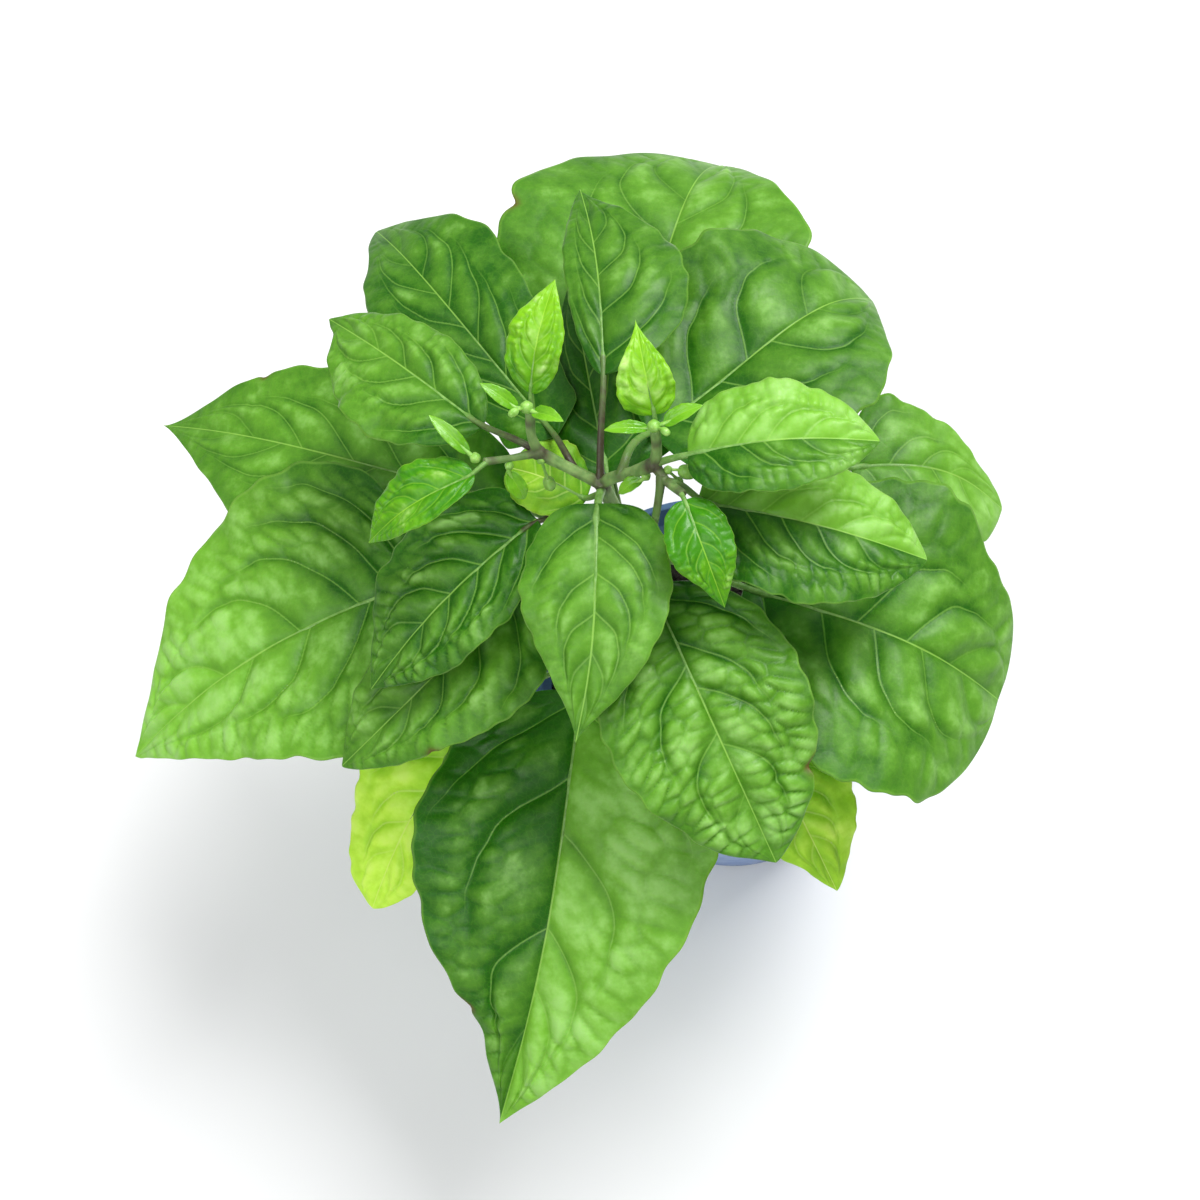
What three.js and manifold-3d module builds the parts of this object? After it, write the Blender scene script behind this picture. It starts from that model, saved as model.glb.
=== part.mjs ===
// A young chilli pepper plant in a plastic nursery pot.
// Millimetres, +Z up. The origin is the centre of the pot's flat foot, on the pot's axis.
// Every leaf is a thin arched blade with its own stalk (petiole). The blades are waved and folded
// along the midrib by one formula, so a leaf is given by where it starts, where its tip is and how
// wide each half is.

import * as THREE from 'three';
import { mergeVertices } from 'three/addons/utils/BufferGeometryUtils.js';
import Module from 'manifold-3d';

const wasm = await Module();
wasm.setup();

// ---------------------------------------------------------------- driving dimensions

const SEATING_GAP = 0.3;      // between pieces that touch on the real plant

const POT = {
  height: 130,
  footRadius: 56,             // outside, at the foot
  underRimRadius: 71.5,       // outside, just under the rim band
  rimRadius: 76,              // outside, at the lip
  rimBand: 16,                // height of the stepped rim band
  lipReach: 1.1,              // how far the lip stands out from the band
  lipHeight: 2.2,
  footChamfer: 1.5,
  wall: 1.8,
  floor: 2.4,
  drainHoles: 6,
  drainRadius: 5,
  drainCircle: 40,
  channelWidth: 9,            // shallow grooves under the floor that lead water out
  channelDepth: 1.2,
  segments: 40,
};

const SOIL = {
  top: 102,
  crown: 3,                   // how much higher the surface is at the stem
  unevenness: 0.6,
  surfaceRings: [52, 36, 18], // radii at which the surface is shaped
  edgeDrop: 2,                // how far the surface falls away at the pot's wall
};

const STEM_SIDES = 8;
const STEM_ROOT_DEPTH = 28;   // how far the stem stands in the soil

const BLADE_THICKNESS = 0.8;
const YOUNG_BLADE_THICKNESS = 0.7;
const ROW_CROWDING = 0.55;    // how much a blade's rows crowd towards its base and its tip
const PETIOLE_SIDES = 6;
const PETIOLE_STEPS = 5;

const TINY_LEAF_THICKNESS = 0.9;
const TINY_STALK_RADIUS = 0.7;
const PEDICEL_RADIUS = 0.6;   // the thin stalk of a flower bud
const PEDICEL_ARCH = 0.8;

// ---------------------------------------------------------------- colours and finishes

const finish = (color, roughness) =>
  new THREE.MeshStandardMaterial({ color, roughness, metalness: 0 });

const FINISH = {
  pot: finish(0x5f7fae, 0.45),
  soil: finish(0x1a1512, 0.95),
  stem: finish(0x6d7a45, 0.6),
  matureLeaf: finish(0x4f8f32, 0.45),
  paleLeaf: finish(0xa6cf4a, 0.5),
  youngLeaf: finish(0x7cc62c, 0.35),
  shoot: finish(0x86c93a, 0.4),
};

// ---------------------------------------------------------------- solids and booleans

const vec = (p) => new THREE.Vector3(p[0], p[1], p[2]);

function toManifold(geometry) {
  const bare = geometry.index ? geometry.clone() : geometry;
  bare.deleteAttribute('normal');
  bare.deleteAttribute('uv');
  const merged = mergeVertices(bare, 1e-4);
  const mesh = new wasm.Mesh({
    numProp: 3,
    vertProperties: new Float32Array(merged.attributes.position.array),
    triVerts: new Uint32Array(merged.index.array),
  });
  return new wasm.Manifold(mesh);
}

function toGeometry(solid) {
  const mesh = solid.getMesh();
  const geometry = new THREE.BufferGeometry();
  geometry.setAttribute('position', new THREE.BufferAttribute(new Float32Array(mesh.vertProperties), 3));
  geometry.setIndex(new THREE.BufferAttribute(new Uint32Array(mesh.triVerts), 1));
  geometry.computeVertexNormals();
  return geometry;
}

function fuse(solids) {
  return solids.reduce((whole, solid) => whole.add(solid));
}

// Drops the crumbs that a cut can leave beside the main body.
function mainBody(solid) {
  return solid.decompose().reduce((main, body) => (body.volume() > main.volume() ? body : main));
}

const model = new THREE.Group();

function addPiece(name, solid, material) {
  const piece = new THREE.Mesh(toGeometry(solid), material);
  piece.name = name;
  model.add(piece);
}

// ---------------------------------------------------------------- tapered tubes

// A closed round tube along a curve. radiusAt(t) gives its radius, with t from 0 to 1.
function taperedTube(curve, radiusAt, steps, sides) {
  const frames = curve.computeFrenetFrames(steps, false);
  const positions = [];
  const indices = [];
  for (let i = 0; i <= steps; i++) {
    const centre = curve.getPointAt(i / steps);
    const radius = radiusAt(i / steps);
    for (let k = 0; k < sides; k++) {
      const angle = (2 * Math.PI * k) / sides;
      const point = centre.clone()
        .addScaledVector(frames.normals[i], radius * Math.cos(angle))
        .addScaledVector(frames.binormals[i], radius * Math.sin(angle));
      positions.push(point.x, point.y, point.z);
    }
  }
  const ring = (i, k) => i * sides + (k % sides);
  for (let i = 0; i < steps; i++) {
    for (let k = 0; k < sides; k++) {
      indices.push(ring(i, k), ring(i, k + 1), ring(i + 1, k + 1));
      indices.push(ring(i, k), ring(i + 1, k + 1), ring(i + 1, k));
    }
  }
  for (let k = 1; k < sides - 1; k++) {
    indices.push(ring(0, 0), ring(0, k + 1), ring(0, k));
    indices.push(ring(steps, 0), ring(steps, k), ring(steps, k + 1));
  }
  const geometry = new THREE.BufferGeometry();
  geometry.setAttribute('position', new THREE.Float32BufferAttribute(positions, 3));
  geometry.setIndex(indices);
  return toManifold(geometry);
}

function ellipsoid(centre, along, halfLength, radius) {
  const geometry = new THREE.SphereGeometry(1, 7, 5);
  geometry.scale(radius, halfLength, radius);
  geometry.applyQuaternion(new THREE.Quaternion().setFromUnitVectors(
    new THREE.Vector3(0, 1, 0), vec(along).normalize()));
  geometry.translate(centre[0], centre[1], centre[2]);
  return toManifold(geometry);
}

// ---------------------------------------------------------------- pot and soil

const potOuterRadius = (z) =>
  POT.footRadius + ((POT.underRimRadius - POT.footRadius) * z) / (POT.height - POT.rimBand);
const potInnerRadius = (z) => potOuterRadius(z) - POT.wall;

function lathe(profile) {
  const geometry = new THREE.LatheGeometry(profile.map(([r, z]) => new THREE.Vector2(r, z)), POT.segments);
  geometry.rotateX(Math.PI / 2);
  return toManifold(geometry);
}

function makePot() {
  const underRim = POT.height - POT.rimBand;
  const bandRadius = POT.rimRadius - POT.lipReach;
  const { footChamfer, lipHeight } = POT;
  let pot = lathe([
    [0, 0],
    [POT.footRadius - footChamfer, 0],
    [potOuterRadius(footChamfer), footChamfer],
    [POT.underRimRadius, underRim],
    [bandRadius - 0.5, underRim + 0.8],
    [bandRadius, POT.height - lipHeight - 0.8],
    [POT.rimRadius, POT.height - lipHeight],
    [POT.rimRadius, POT.height - 0.6],
    [POT.rimRadius - 0.8, POT.height],
    [bandRadius - POT.wall, POT.height - 0.6],
    [bandRadius - 0.5 - POT.wall, underRim + 2.6],
    [potInnerRadius(underRim), underRim - 1],
    [potInnerRadius(POT.floor), POT.floor],
    [0, POT.floor],
  ]);
  for (let k = 0; k < POT.drainHoles; k++) {
    const angle = (2 * Math.PI * (k + 0.5)) / POT.drainHoles;
    const hole = new THREE.CylinderGeometry(POT.drainRadius, POT.drainRadius, POT.floor * 4, 16);
    hole.rotateX(Math.PI / 2);
    hole.translate(POT.drainCircle, 0, 0);
    hole.rotateZ(angle);
    const channelLength = POT.footRadius;
    const channel = new THREE.BoxGeometry(channelLength, POT.channelWidth, 2 * POT.channelDepth);
    channel.translate(POT.drainCircle + channelLength / 2, 0, 0);
    channel.rotateZ(angle);
    pot = pot.subtract(toManifold(hole)).subtract(toManifold(channel));
  }
  return pot;
}

function makeSoil(stemHole) {
  const bottom = POT.floor + SEATING_GAP;
  const radiusAt = (z) => potInnerRadius(z) - SEATING_GAP;
  const edge = SOIL.top - SOIL.edgeDrop;
  const surface = SOIL.surfaceRings.map((r, i) => {
    const unevenness = i % 2 === 0 ? -SOIL.unevenness : SOIL.unevenness;
    return [r, SOIL.top + SOIL.crown * (1 - r / radiusAt(edge)) + unevenness];
  });
  const body = lathe([
    [0, bottom],
    [radiusAt(bottom), bottom],
    [radiusAt(edge), edge],
    ...surface,
    [0, SOIL.top + SOIL.crown],
  ]);
  return body.subtract(stemHole);
}

// ---------------------------------------------------------------- stem with its branches

// Each run: points along its axis and the radius at each of them. Runs start inside the run
// that carries them, so they grow together as one solid.
const STEM_BOTTOM = SOIL.top - STEM_ROOT_DEPTH;
const STEM_RUNS = {
  trunk: {
    points: [[0, 0, STEM_BOTTOM], [0, 0, 108], [-1, 2, 150], [-4, 4, 200], [-7, 7, 250], [-9, 9, 285], [-10, 10, 301]],
    radii: [3.6, 3.5, 2.9, 2.7, 2.5, 2.4, 2.5],
    steps: 10,
  },
  leftBranch: {
    points: [[-10, 10, 298], [-14, 11, 302], [-20, 13, 307], [-27, 15, 314]],
    radii: [2.2, 1.9, 1.8, 2.2],
    steps: 4,
  },
  leftUpShoot: {
    points: [[-27, 15, 313], [-27.5, 17, 322], [-25.5, 20, 333]],
    radii: [1.9, 1.5, 1.6],
    steps: 4,
  },
  leftThinShoot: {
    points: [[-27, 15, 314], [-34, 12, 318], [-42, 9, 323]],
    radii: [1.6, 1.1, 1.3],
    steps: 4,
  },
  rightBranch: {
    points: [[-10, 10, 298], [-5, 9, 304], [2, 7.5, 310], [10, 6, 318]],
    radii: [2.2, 2, 1.9, 2.3],
    steps: 4,
  },
  rightUpShoot: {
    points: [[10, 6, 317], [12, 7.5, 326], [13, 9, 336]],
    radii: [2, 1.6, 1.6],
    steps: 4,
  },
  rightFrontShoot: {
    points: [[10, 6, 318], [13.5, 1, 316], [19, -5, 319]],
    radii: [1.8, 1.4, 1.4],
    steps: 4,
  },
};

// extra widens the run, and lengthens it past its end, to cut clearance with.
function stemRun({ points, radii, steps }, extra = 0) {
  const axis = points.map(vec);
  const last = axis.length - 1;
  const ending = axis[last].clone().sub(axis[last - 1]).normalize();
  axis[last].addScaledVector(ending, extra);
  const curve = new THREE.CatmullRomCurve3(axis);
  const lengths = points.map((p, i) => (i === 0 ? 0 : vec(p).distanceTo(vec(points[i - 1]))));
  const total = lengths.reduce((sum, length) => sum + length, 0);
  const radiusAt = (t) => {
    let travelled = 0;
    for (let i = 1; i < points.length; i++) {
      const next = travelled + lengths[i] / total;
      if (t <= next || i === points.length - 1) {
        const share = Math.min((t - travelled) / (next - travelled), 1);
        return radii[i - 1] + (radii[i] - radii[i - 1]) * share + extra;
      }
      travelled = next;
    }
    return radii[0] + extra;
  };
  return taperedTube(curve, radiusAt, steps, STEM_SIDES);
}

const makeStem = (extra = 0) => fuse(Object.values(STEM_RUNS).map((run) => stemRun(run, extra)));

// ---------------------------------------------------------------- leaves

// foot: where the petiole leaves the stem's axis. base: where the blade starts. tip: its end.
// left, right: half widths, seen from above with the tip pointing away. widest: where along the
// blade they are reached. shoulder and taper: how full the blade is before and after that. ease:
// 2 where the margin turns in slowly after its widest place, less where it runs straight to the
// tip. arch, crest: height of the midrib over its chord and where. bow: sideways bend, towards
// the right. fold: degrees that each half rises from the midrib. droop: how far the margins hang.
// wave, waves: height and number of the ripples along each margin. rising: how steeply the
// petiole leaves the stem. A pair is for the left and the right half.
const LEAF_DEFAULTS = {
  widest: 0.42, shoulder: 0.5, taper: 1, ease: 2, arch: 6, crest: 0.5, bow: 0, bend: 0.5,
  fold: 8, droop: 3, wave: 1.2, waves: 2.5, rows: 10, columns: 6,
  petiole: 1.1, rising: 0.25, thickness: BLADE_THICKNESS, material: 'matureLeaf',
};

const LEAVES = [
  { name: 'leaf_front', foot: [-5, 5, 208], base: [-31, -35, 222], tip: [-72, -178, 165],
    left: 55, right: 53, arch: 16, crest: 0.45, bow: -8, widest: [0.3, 0.34], shoulder: 0.42,
    taper: [1.07, 1.65], ease: [1.55, 2], wave: 2, waves: 3, rows: 13, columns: 8, petiole: 1.4 },
  { name: 'leaf_left_large', foot: [-6, 6, 228], base: [-84, 5, 240], tip: [-210, -44, 198],
    left: 54, right: 61, arch: 12, bow: 3, widest: [0.3, 0.24], shoulder: 0.38,
    taper: [0.95, 1.25], ease: [1.2, 2], wave: 2, waves: 3, rows: 12, columns: 8, petiole: 1.4 },
  { name: 'leaf_left_back', foot: [-6, 6, 219], base: [-54, 32, 240], tip: [-205, 89, 212],
    left: 36, right: 35, arch: 9, crest: 0.62, widest: 0.53, shoulder: 0.38,
    taper: [1.35, 1.75], ease: [1.5, 2], rows: 12, petiole: 1.3 },
  { name: 'leaf_left_upper', foot: [-27, 15, 313], base: [-45, 25, 315], tip: [-104, 78, 300],
    left: 25, right: 17, arch: 5, shoulder: 0.6, taper: [1.2, 1], wave: 1.5, waves: 3 },
  { name: 'leaf_back_left', foot: [-17, 12, 303], base: [-26, 30.5, 293], tip: [-102, 136, 262],
    left: 25, right: 28, arch: 12, crest: 0.64, widest: [0.54, 0.58], shoulder: [0.85, 0.75],
    taper: [0.85, 0.9], ease: [1.6, 2], rows: 12 },
  { name: 'leaf_back', foot: [-9, 9, 268], base: [-14.5, 36, 271], tip: [24, 172, 228],
    left: 62, right: 51, arch: 20, crest: 0.69, widest: [0.55, 0.6], taper: [0.75, 1],
    ease: 1.6, wave: 1.8, rows: 13, columns: 8, petiole: 1.4 },
  { name: 'leaf_back_upper', foot: [-10, 10, 300], base: [-6, 39, 316], tip: [-17, 119, 300],
    left: 11, right: 29, bow: 3, widest: [0.5, 0.34], shoulder: 0.6, taper: [1, 1.6] },
  { name: 'leaf_back_right', foot: [-2, 8.5, 307], base: [4.5, 30, 290.5], tip: [78, 88, 262],
    left: 46, right: 41, arch: 14, crest: 0.67, widest: [0.53, 0.59], shoulder: [0.6, 0.38],
    taper: [0.5, 0.9], ease: [2, 1.5], wave: 1.5, rows: 12, columns: 8, petiole: 1.3 },
  { name: 'leaf_right_upper', foot: [10, 6, 318], base: [21, 5.2, 325], tip: [78, 6, 322],
    left: 20, right: 17, fold: 12, widest: 0.44, shoulder: 0.34, taper: 0.86, wave: 1, waves: 3 },
  { name: 'leaf_right_back', foot: [-6, 6, 232], base: [67, 39, 232], tip: [120, 32, 200],
    left: 26.5, right: 26, arch: 9, bow: -4, widest: [0.2, 0.35], shoulder: 0.6, taper: [0.8, 0.5],
    ease: [1.05, 2], petiole: 1.3 },
  { name: 'leaf_right_middle', foot: [14, 0.5, 316], base: [21, -1, 303.5], tip: [90, -17, 282],
    left: 22, right: 26, widest: 0.46, shoulder: 0.36, taper: 0.8, wave: 1.6, waves: 3 },
  { name: 'leaf_right_large', foot: [-7, 7, 244], base: [30, -11, 252], tip: [112, -44, 215],
    left: 54, right: 52.5, arch: 18, crest: 0.55, widest: 0.5, taper: [0.47, 0.5], ease: [1.5, 2],
    wave: 1.8, waves: 3, rows: 12, columns: 8, petiole: 1.4 },
  { name: 'leaf_front_right', foot: [12, 3, 316.5], base: [3, -20, 282], tip: [37, -103, 246],
    left: 33, right: 34, arch: 10, widest: [0.42, 0.45], shoulder: 0.55, taper: [0.8, 1],
    wave: 1.8, waves: 3, rows: 12, columns: 8, petiole: 1.2, rising: -0.2 },
  { name: 'leaf_front_upper', foot: [-10, 10, 296], base: [-10, 0, 306], tip: [-20, -72, 288],
    left: 24, right: 24, arch: 7, bow: -4, bend: 0.55, widest: 0.35,
    shoulder: [0.33, 0.36], taper: 1.45 },
  { name: 'leaf_left_middle', foot: [-9, 9, 280], base: [-33, 3.5, 289], tip: [-94, -44, 266],
    left: 21, right: 28, arch: 7, widest: [0.49, 0.41], shoulder: [0.36, 0.28], taper: 1.1,
    wave: 1.6, waves: 3, rising: 0.05 },
  { name: 'leaf_left_front', foot: [-8, 8, 258], base: [-45, -13, 266], tip: [-112, -63, 240],
    left: 32, right: 22, arch: 8, bow: -4, widest: [0.24, 0.5], shoulder: 0.4, taper: [0.8, 1],
    ease: [1.2, 2], wave: 1.5 },
  { name: 'leaf_low_front_left', foot: [-2, 3, 172], base: [-82, -48, 205], tip: [-120, -101, 175],
    left: 18, right: 28, widest: [0.5, 0.35], taper: [0.85, 0.6], ease: [2, 1.3],
    material: 'paleLeaf' },
  { name: 'leaf_low_front_right', foot: [-3, 3, 184], base: [33, -57, 205], tip: [53, -101, 180],
    left: 19, right: 15, widest: [0.35, 0.5], taper: [0.8, 1.3], ease: [1.3, 2],
    material: 'paleLeaf' },
  { name: 'leaf_inner_left', foot: [-10, 9.5, 290], base: [-17, 10, 286], tip: [-43, 22, 290],
    left: 12, right: 15, arch: 5, widest: 0.5, taper: 0.5, rows: 8, material: 'paleLeaf' },
  { name: 'leaf_inner_back', foot: [-9, 9, 278], base: [-10, 18, 286], tip: [-24, 97, 279],
    left: 14, right: 15, arch: 5, widest: [0.25, 0.2], shoulder: 0.3 },
  { name: 'leaf_young_right', foot: [18, -4, 318.5], base: [19.5, -7.5, 321], tip: [29, -37, 305],
    left: 10, right: 10.5, arch: 5, widest: 0.38, shoulder: 0.4, taper: 1.2 },
  { name: 'leaf_young_back_right', foot: [12.5, 8.2, 330], base: [13, 13.5, 336], tip: [10, 37, 352],
    left: 9.5, right: 8, arch: 4, widest: 0.3, shoulder: 0.4, taper: 1.7 },
  { name: 'leaf_young_back_left', foot: [-26.3, 18.7, 328.5], base: [-25, 24.5, 335.5], tip: [-14, 53, 352],
    left: 10, right: 8.5, arch: 4, taper: 1.2 },
  { name: 'leaf_young_left', foot: [-40, 9.8, 321.7], base: [-45, 5, 323.5], tip: [-83, -9, 308],
    left: 9, right: 12.5, arch: 5, fold: 15, taper: 1.1 },
].map((leaf) => {
  const young = leaf.name.startsWith('leaf_young')
    ? { material: 'youngLeaf', rows: 9, wave: 0.5, droop: 1.5, petiole: 0.8,
      thickness: YOUNG_BLADE_THICKNESS }
    : {};
  return { ...LEAF_DEFAULTS, ...young, ...leaf };
});

// A sine hump from 0 to 1 and back over t = 0..1, whose top is at t = peak.
const hump = (t, peak) => Math.sin(Math.PI * t ** (Math.log(0.5) / Math.log(peak)));

// Share of the full half width at u along the blade.
function outlineShare(u, widest, shoulder, taper, ease) {
  if (u < widest) {
    const s = u / widest;
    return (s * (2 - s)) ** shoulder;
  }
  const t = (u - widest) / (1 - widest);
  return Math.max(1 - t ** ease, 0) ** taper;
}

const leftOf = (value) => (Array.isArray(value) ? value[0] : value);
const rightOf = (value) => (Array.isArray(value) ? value[1] : value);

class Blade {
  constructor(leaf) {
    this.leaf = leaf;
    this.base = vec(leaf.base);
    this.chord = vec(leaf.tip).sub(this.base);
    const forward = this.chord.clone().normalize();
    this.up = new THREE.Vector3(0, 0, 1);
    this.up.addScaledVector(forward, -forward.z).normalize();
    this.side = forward.clone().cross(this.up);
  }

  midrib(u) {
    const { arch, crest, bow, bend } = this.leaf;
    return this.base.clone()
      .addScaledVector(this.chord, u)
      .addScaledVector(this.up, arch * hump(u, crest))
      .addScaledVector(this.side, bow * hump(u, bend));
  }

  frame(u) {
    const step = 1e-3;
    const along = this.midrib(Math.min(u + step, 1)).sub(this.midrib(Math.max(u - step, 0))).normalize();
    const across = along.clone().cross(this.up).normalize();
    const normal = across.clone().cross(along);
    return { along, across, normal };
  }

  // A point of the upper face: v runs from -1, the left margin, to 1, the right margin.
  surface(u, v) {
    const { left, right, widest, shoulder, taper, ease, fold, droop, wave, waves } = this.leaf;
    const side = v < 0 ? leftOf : rightOf;
    const half = v < 0 ? left : right;
    const width = half
      * outlineShare(u, side(widest), side(shoulder), side(taper), side(ease));
    const share = (2 * width) / (left + right);
    const rise = THREE.MathUtils.degToRad(fold);
    const ripple = wave * Math.sin(2 * Math.PI * (waves * u + 0.25 * Math.sign(v)));
    const lift = width * Math.abs(v) * Math.sin(rise) + (ripple - droop) * v * v * share;
    const { across, normal } = this.frame(u);
    return this.midrib(u)
      .addScaledVector(across, width * v * Math.cos(rise))
      .addScaledVector(normal, lift);
  }

  // The blade as a closed solid. Both faces are split into triangles alike.
  solid() {
    const { rows, columns, thickness } = this.leaf;
    const rowAt = (i) => {
      const even = i / rows;
      return even + ROW_CROWDING * (0.5 * (1 - Math.cos(Math.PI * even)) - even);
    };
    const positions = [];
    const upper = [];
    const lower = [];
    for (let i = 0; i <= rows; i++) {
      const u = rowAt(i);
      const { normal } = this.frame(u);
      const ends = i === 0 || i === rows;
      const upperRow = [];
      const lowerRow = [];
      for (let j = 0; j <= columns; j++) {
        if (!ends || j === 0) {
          const top = this.surface(u, ends ? 0 : -1 + (2 * j) / columns);
          const bottom = top.clone().addScaledVector(normal, -thickness);
          upperRow.push(positions.length / 3);
          positions.push(top.x, top.y, top.z);
          lowerRow.push(positions.length / 3);
          positions.push(bottom.x, bottom.y, bottom.z);
        } else {
          upperRow.push(upperRow[0]);
          lowerRow.push(lowerRow[0]);
        }
      }
      upper.push(upperRow);
      lower.push(lowerRow);
    }
    const indices = [];
    const triangle = (a, b, c) => {
      if (a !== b && b !== c && c !== a) indices.push(a, b, c);
    };
    for (let i = 0; i < rows; i++) {
      for (let j = 0; j < columns; j++) {
        triangle(upper[i][j], upper[i + 1][j + 1], upper[i + 1][j]);
        triangle(upper[i][j], upper[i][j + 1], upper[i + 1][j + 1]);
        triangle(lower[i][j], lower[i + 1][j], lower[i + 1][j + 1]);
        triangle(lower[i][j], lower[i + 1][j + 1], lower[i][j + 1]);
      }
      for (const [j, flip] of [[0, false], [columns, true]]) {
        const corners = [upper[i][j], upper[i + 1][j], lower[i + 1][j], lower[i][j]];
        if (flip) corners.reverse();
        triangle(corners[0], corners[1], corners[2]);
        triangle(corners[0], corners[2], corners[3]);
      }
    }
    const geometry = new THREE.BufferGeometry();
    geometry.setAttribute('position', new THREE.Float32BufferAttribute(positions, 3));
    geometry.setIndex(indices);
    return toManifold(geometry);
  }

  // The stalk leaves the stem upwards and outwards, and runs into the midrib's underside.
  petiole() {
    const { foot, petiole, rising, thickness } = this.leaf;
    const start = vec(foot);
    const { along, normal } = this.frame(0.02);
    const end = this.midrib(0.07).addScaledVector(normal, -0.6 * thickness);
    const reach = start.distanceTo(end);
    const outward = end.clone().sub(start).setZ(0).normalize();
    const leaving = start.clone()
      .addScaledVector(outward, 0.3 * reach)
      .add(new THREE.Vector3(0, 0, rising * reach));
    const arriving = end.clone().addScaledVector(along, -0.35 * reach);
    const curve = new THREE.CubicBezierCurve3(start, leaving, arriving, end);
    return taperedTube(curve, (t) => petiole * (1.15 - 0.35 * t), PETIOLE_STEPS, PETIOLE_SIDES);
  }
}

// ---------------------------------------------------------------- growing tips and flower buds

// Tiny leaves and buds that grow from one point, fused to the small knob that carries them.
const SPROUTS = [
  { name: 'sprout_left_top', knob: [-26, 20.2, 335], knobRadius: 2,
    leaves: [
      { base: [-29, 20, 335.5], tip: [-39, 26, 342], width: 5 },
      { base: [-24, 18.5, 335], tip: [-14, 13, 338], width: 5 },
    ],
    buds: [{ from: [-27, 19.5, 335.5], at: [-29.5, 17.5, 337.5], length: 1.8, radius: 1.3 }] },
  { name: 'sprout_left_side', knob: [-44.2, 9.3, 325.6], knobRadius: 1.7,
    leaves: [{ base: [-46, 10.5, 327], tip: [-57, 21, 334], width: 5 }],
    buds: [] },
  { name: 'tiny_leaf_left', knob: [-35.5, 9.6, 317.4], knobRadius: 1.4,
    leaves: [{ base: [-35.8, 8, 316], tip: [-33, 3, 306], width: 6 }],
    buds: [] },
  { name: 'sprout_right_top', knob: [13, 9.2, 337.6], knobRadius: 2,
    leaves: [
      { base: [11, 9, 337], tip: [-2, 9, 338], width: 4.5 },
      { base: [16, 9.5, 338], tip: [28, 13, 341], width: 5.5 },
    ],
    buds: [{ from: [14, 8.5, 337.6], at: [16.5, 6.5, 339], length: 1.6, radius: 1.2 }] },
  { name: 'tiny_leaf_right', knob: [6.6, 4.8, 312.6], knobRadius: 1.5,
    leaves: [{ base: [5.2, 4, 311.8], tip: [-3, 2, 307], width: 5 }],
    buds: [] },
  { name: 'flower_bud_right', knob: [14, 4.4, 316.6], knobRadius: 1.4,
    leaves: [],
    buds: [
      { from: [14, 4.4, 316.6], at: [19.5, 4.5, 314], length: 3, radius: 2.4 },
      { from: [14, 4.2, 316], at: [16.5, 3.2, 310.5], length: 1.7, radius: 1.3 },
    ] },
  { name: 'flower_bud_left', knob: [-26.5, 13.2, 312.5], knobRadius: 1.5,
    leaves: [],
    buds: [{ from: [-26.5, 13, 312], at: [-26.5, 10.5, 300], length: 3.2, radius: 2 }] },
];

function tinyLeaf({ base, tip, width }) {
  const blade = new Blade({
    ...LEAF_DEFAULTS, base, tip, left: width / 2, right: width / 2, arch: 1.2, fold: 15,
    droop: 0, wave: 0, rows: 5, columns: 4, shoulder: 0.4, thickness: TINY_LEAF_THICKNESS,
  });
  return blade.solid();
}

function bud({ from, at, length, radius }) {
  const start = vec(from);
  const end = vec(at);
  const middle = start.clone().lerp(end, 0.5).add(new THREE.Vector3(0, 0, PEDICEL_ARCH));
  const route = new THREE.QuadraticBezierCurve3(start, middle, end);
  const pedicel = taperedTube(route, () => PEDICEL_RADIUS, 3, 5);
  const along = end.clone().sub(middle);
  return pedicel.add(ellipsoid(at, along.toArray(), length, radius));
}

function makeSprout({ knob, knobRadius, leaves, buds }) {
  return fuse([
    ellipsoid(knob, [0, 0, 1], knobRadius, knobRadius),
    ...leaves.map((leaf) => {
      const stalk = new THREE.LineCurve3(vec(knob), vec(leaf.base).lerp(vec(leaf.tip), 0.18));
      return tinyLeaf(leaf).add(taperedTube(stalk, () => TINY_STALK_RADIUS, 1, 5));
    }),
    ...buds.map(bud),
  ]);
}

// ---------------------------------------------------------------- assembly

const stem = makeStem();
const stemWithClearance = makeStem(SEATING_GAP);
const holeSides = 24;
const holeRadius = (STEM_RUNS.trunk.radii[0] + SEATING_GAP) / Math.cos(Math.PI / holeSides);
const holeBottom = STEM_BOTTOM - SEATING_GAP;
const holeLength = POT.height - holeBottom;
const stemHoleShape = new THREE.CylinderGeometry(holeRadius, holeRadius, holeLength, holeSides);
stemHoleShape.rotateX(Math.PI / 2);
stemHoleShape.translate(0, 0, holeBottom + holeLength / 2);

addPiece('pot', makePot(), FINISH.pot);
addPiece('soil', makeSoil(toManifold(stemHoleShape)), FINISH.soil);
addPiece('stem', stem, FINISH.stem);

for (const leaf of LEAVES) {
  const blade = new Blade(leaf);
  const grown = blade.solid().add(blade.petiole()).subtract(stemWithClearance);
  addPiece(leaf.name, mainBody(grown), FINISH[leaf.material]);
}

for (const sprout of SPROUTS) {
  addPiece(sprout.name, mainBody(makeSprout(sprout).subtract(stemWithClearance)), FINISH.shoot);
}

export default model;
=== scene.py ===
"""A young chilli pepper plant in a plastic nursery pot.

The plant's own sizes are in millimetres, in the frame's axes, and a mesh is written in metres when
it is finished. The leaves, the stem and the pot stand where their solids stand in the frame.
"""

from __future__ import annotations

import logging
import math
from dataclasses import dataclass, field
from enum import Enum
from typing import Sequence

import bpy
import numpy as np
from mathutils import Matrix, Vector

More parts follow.
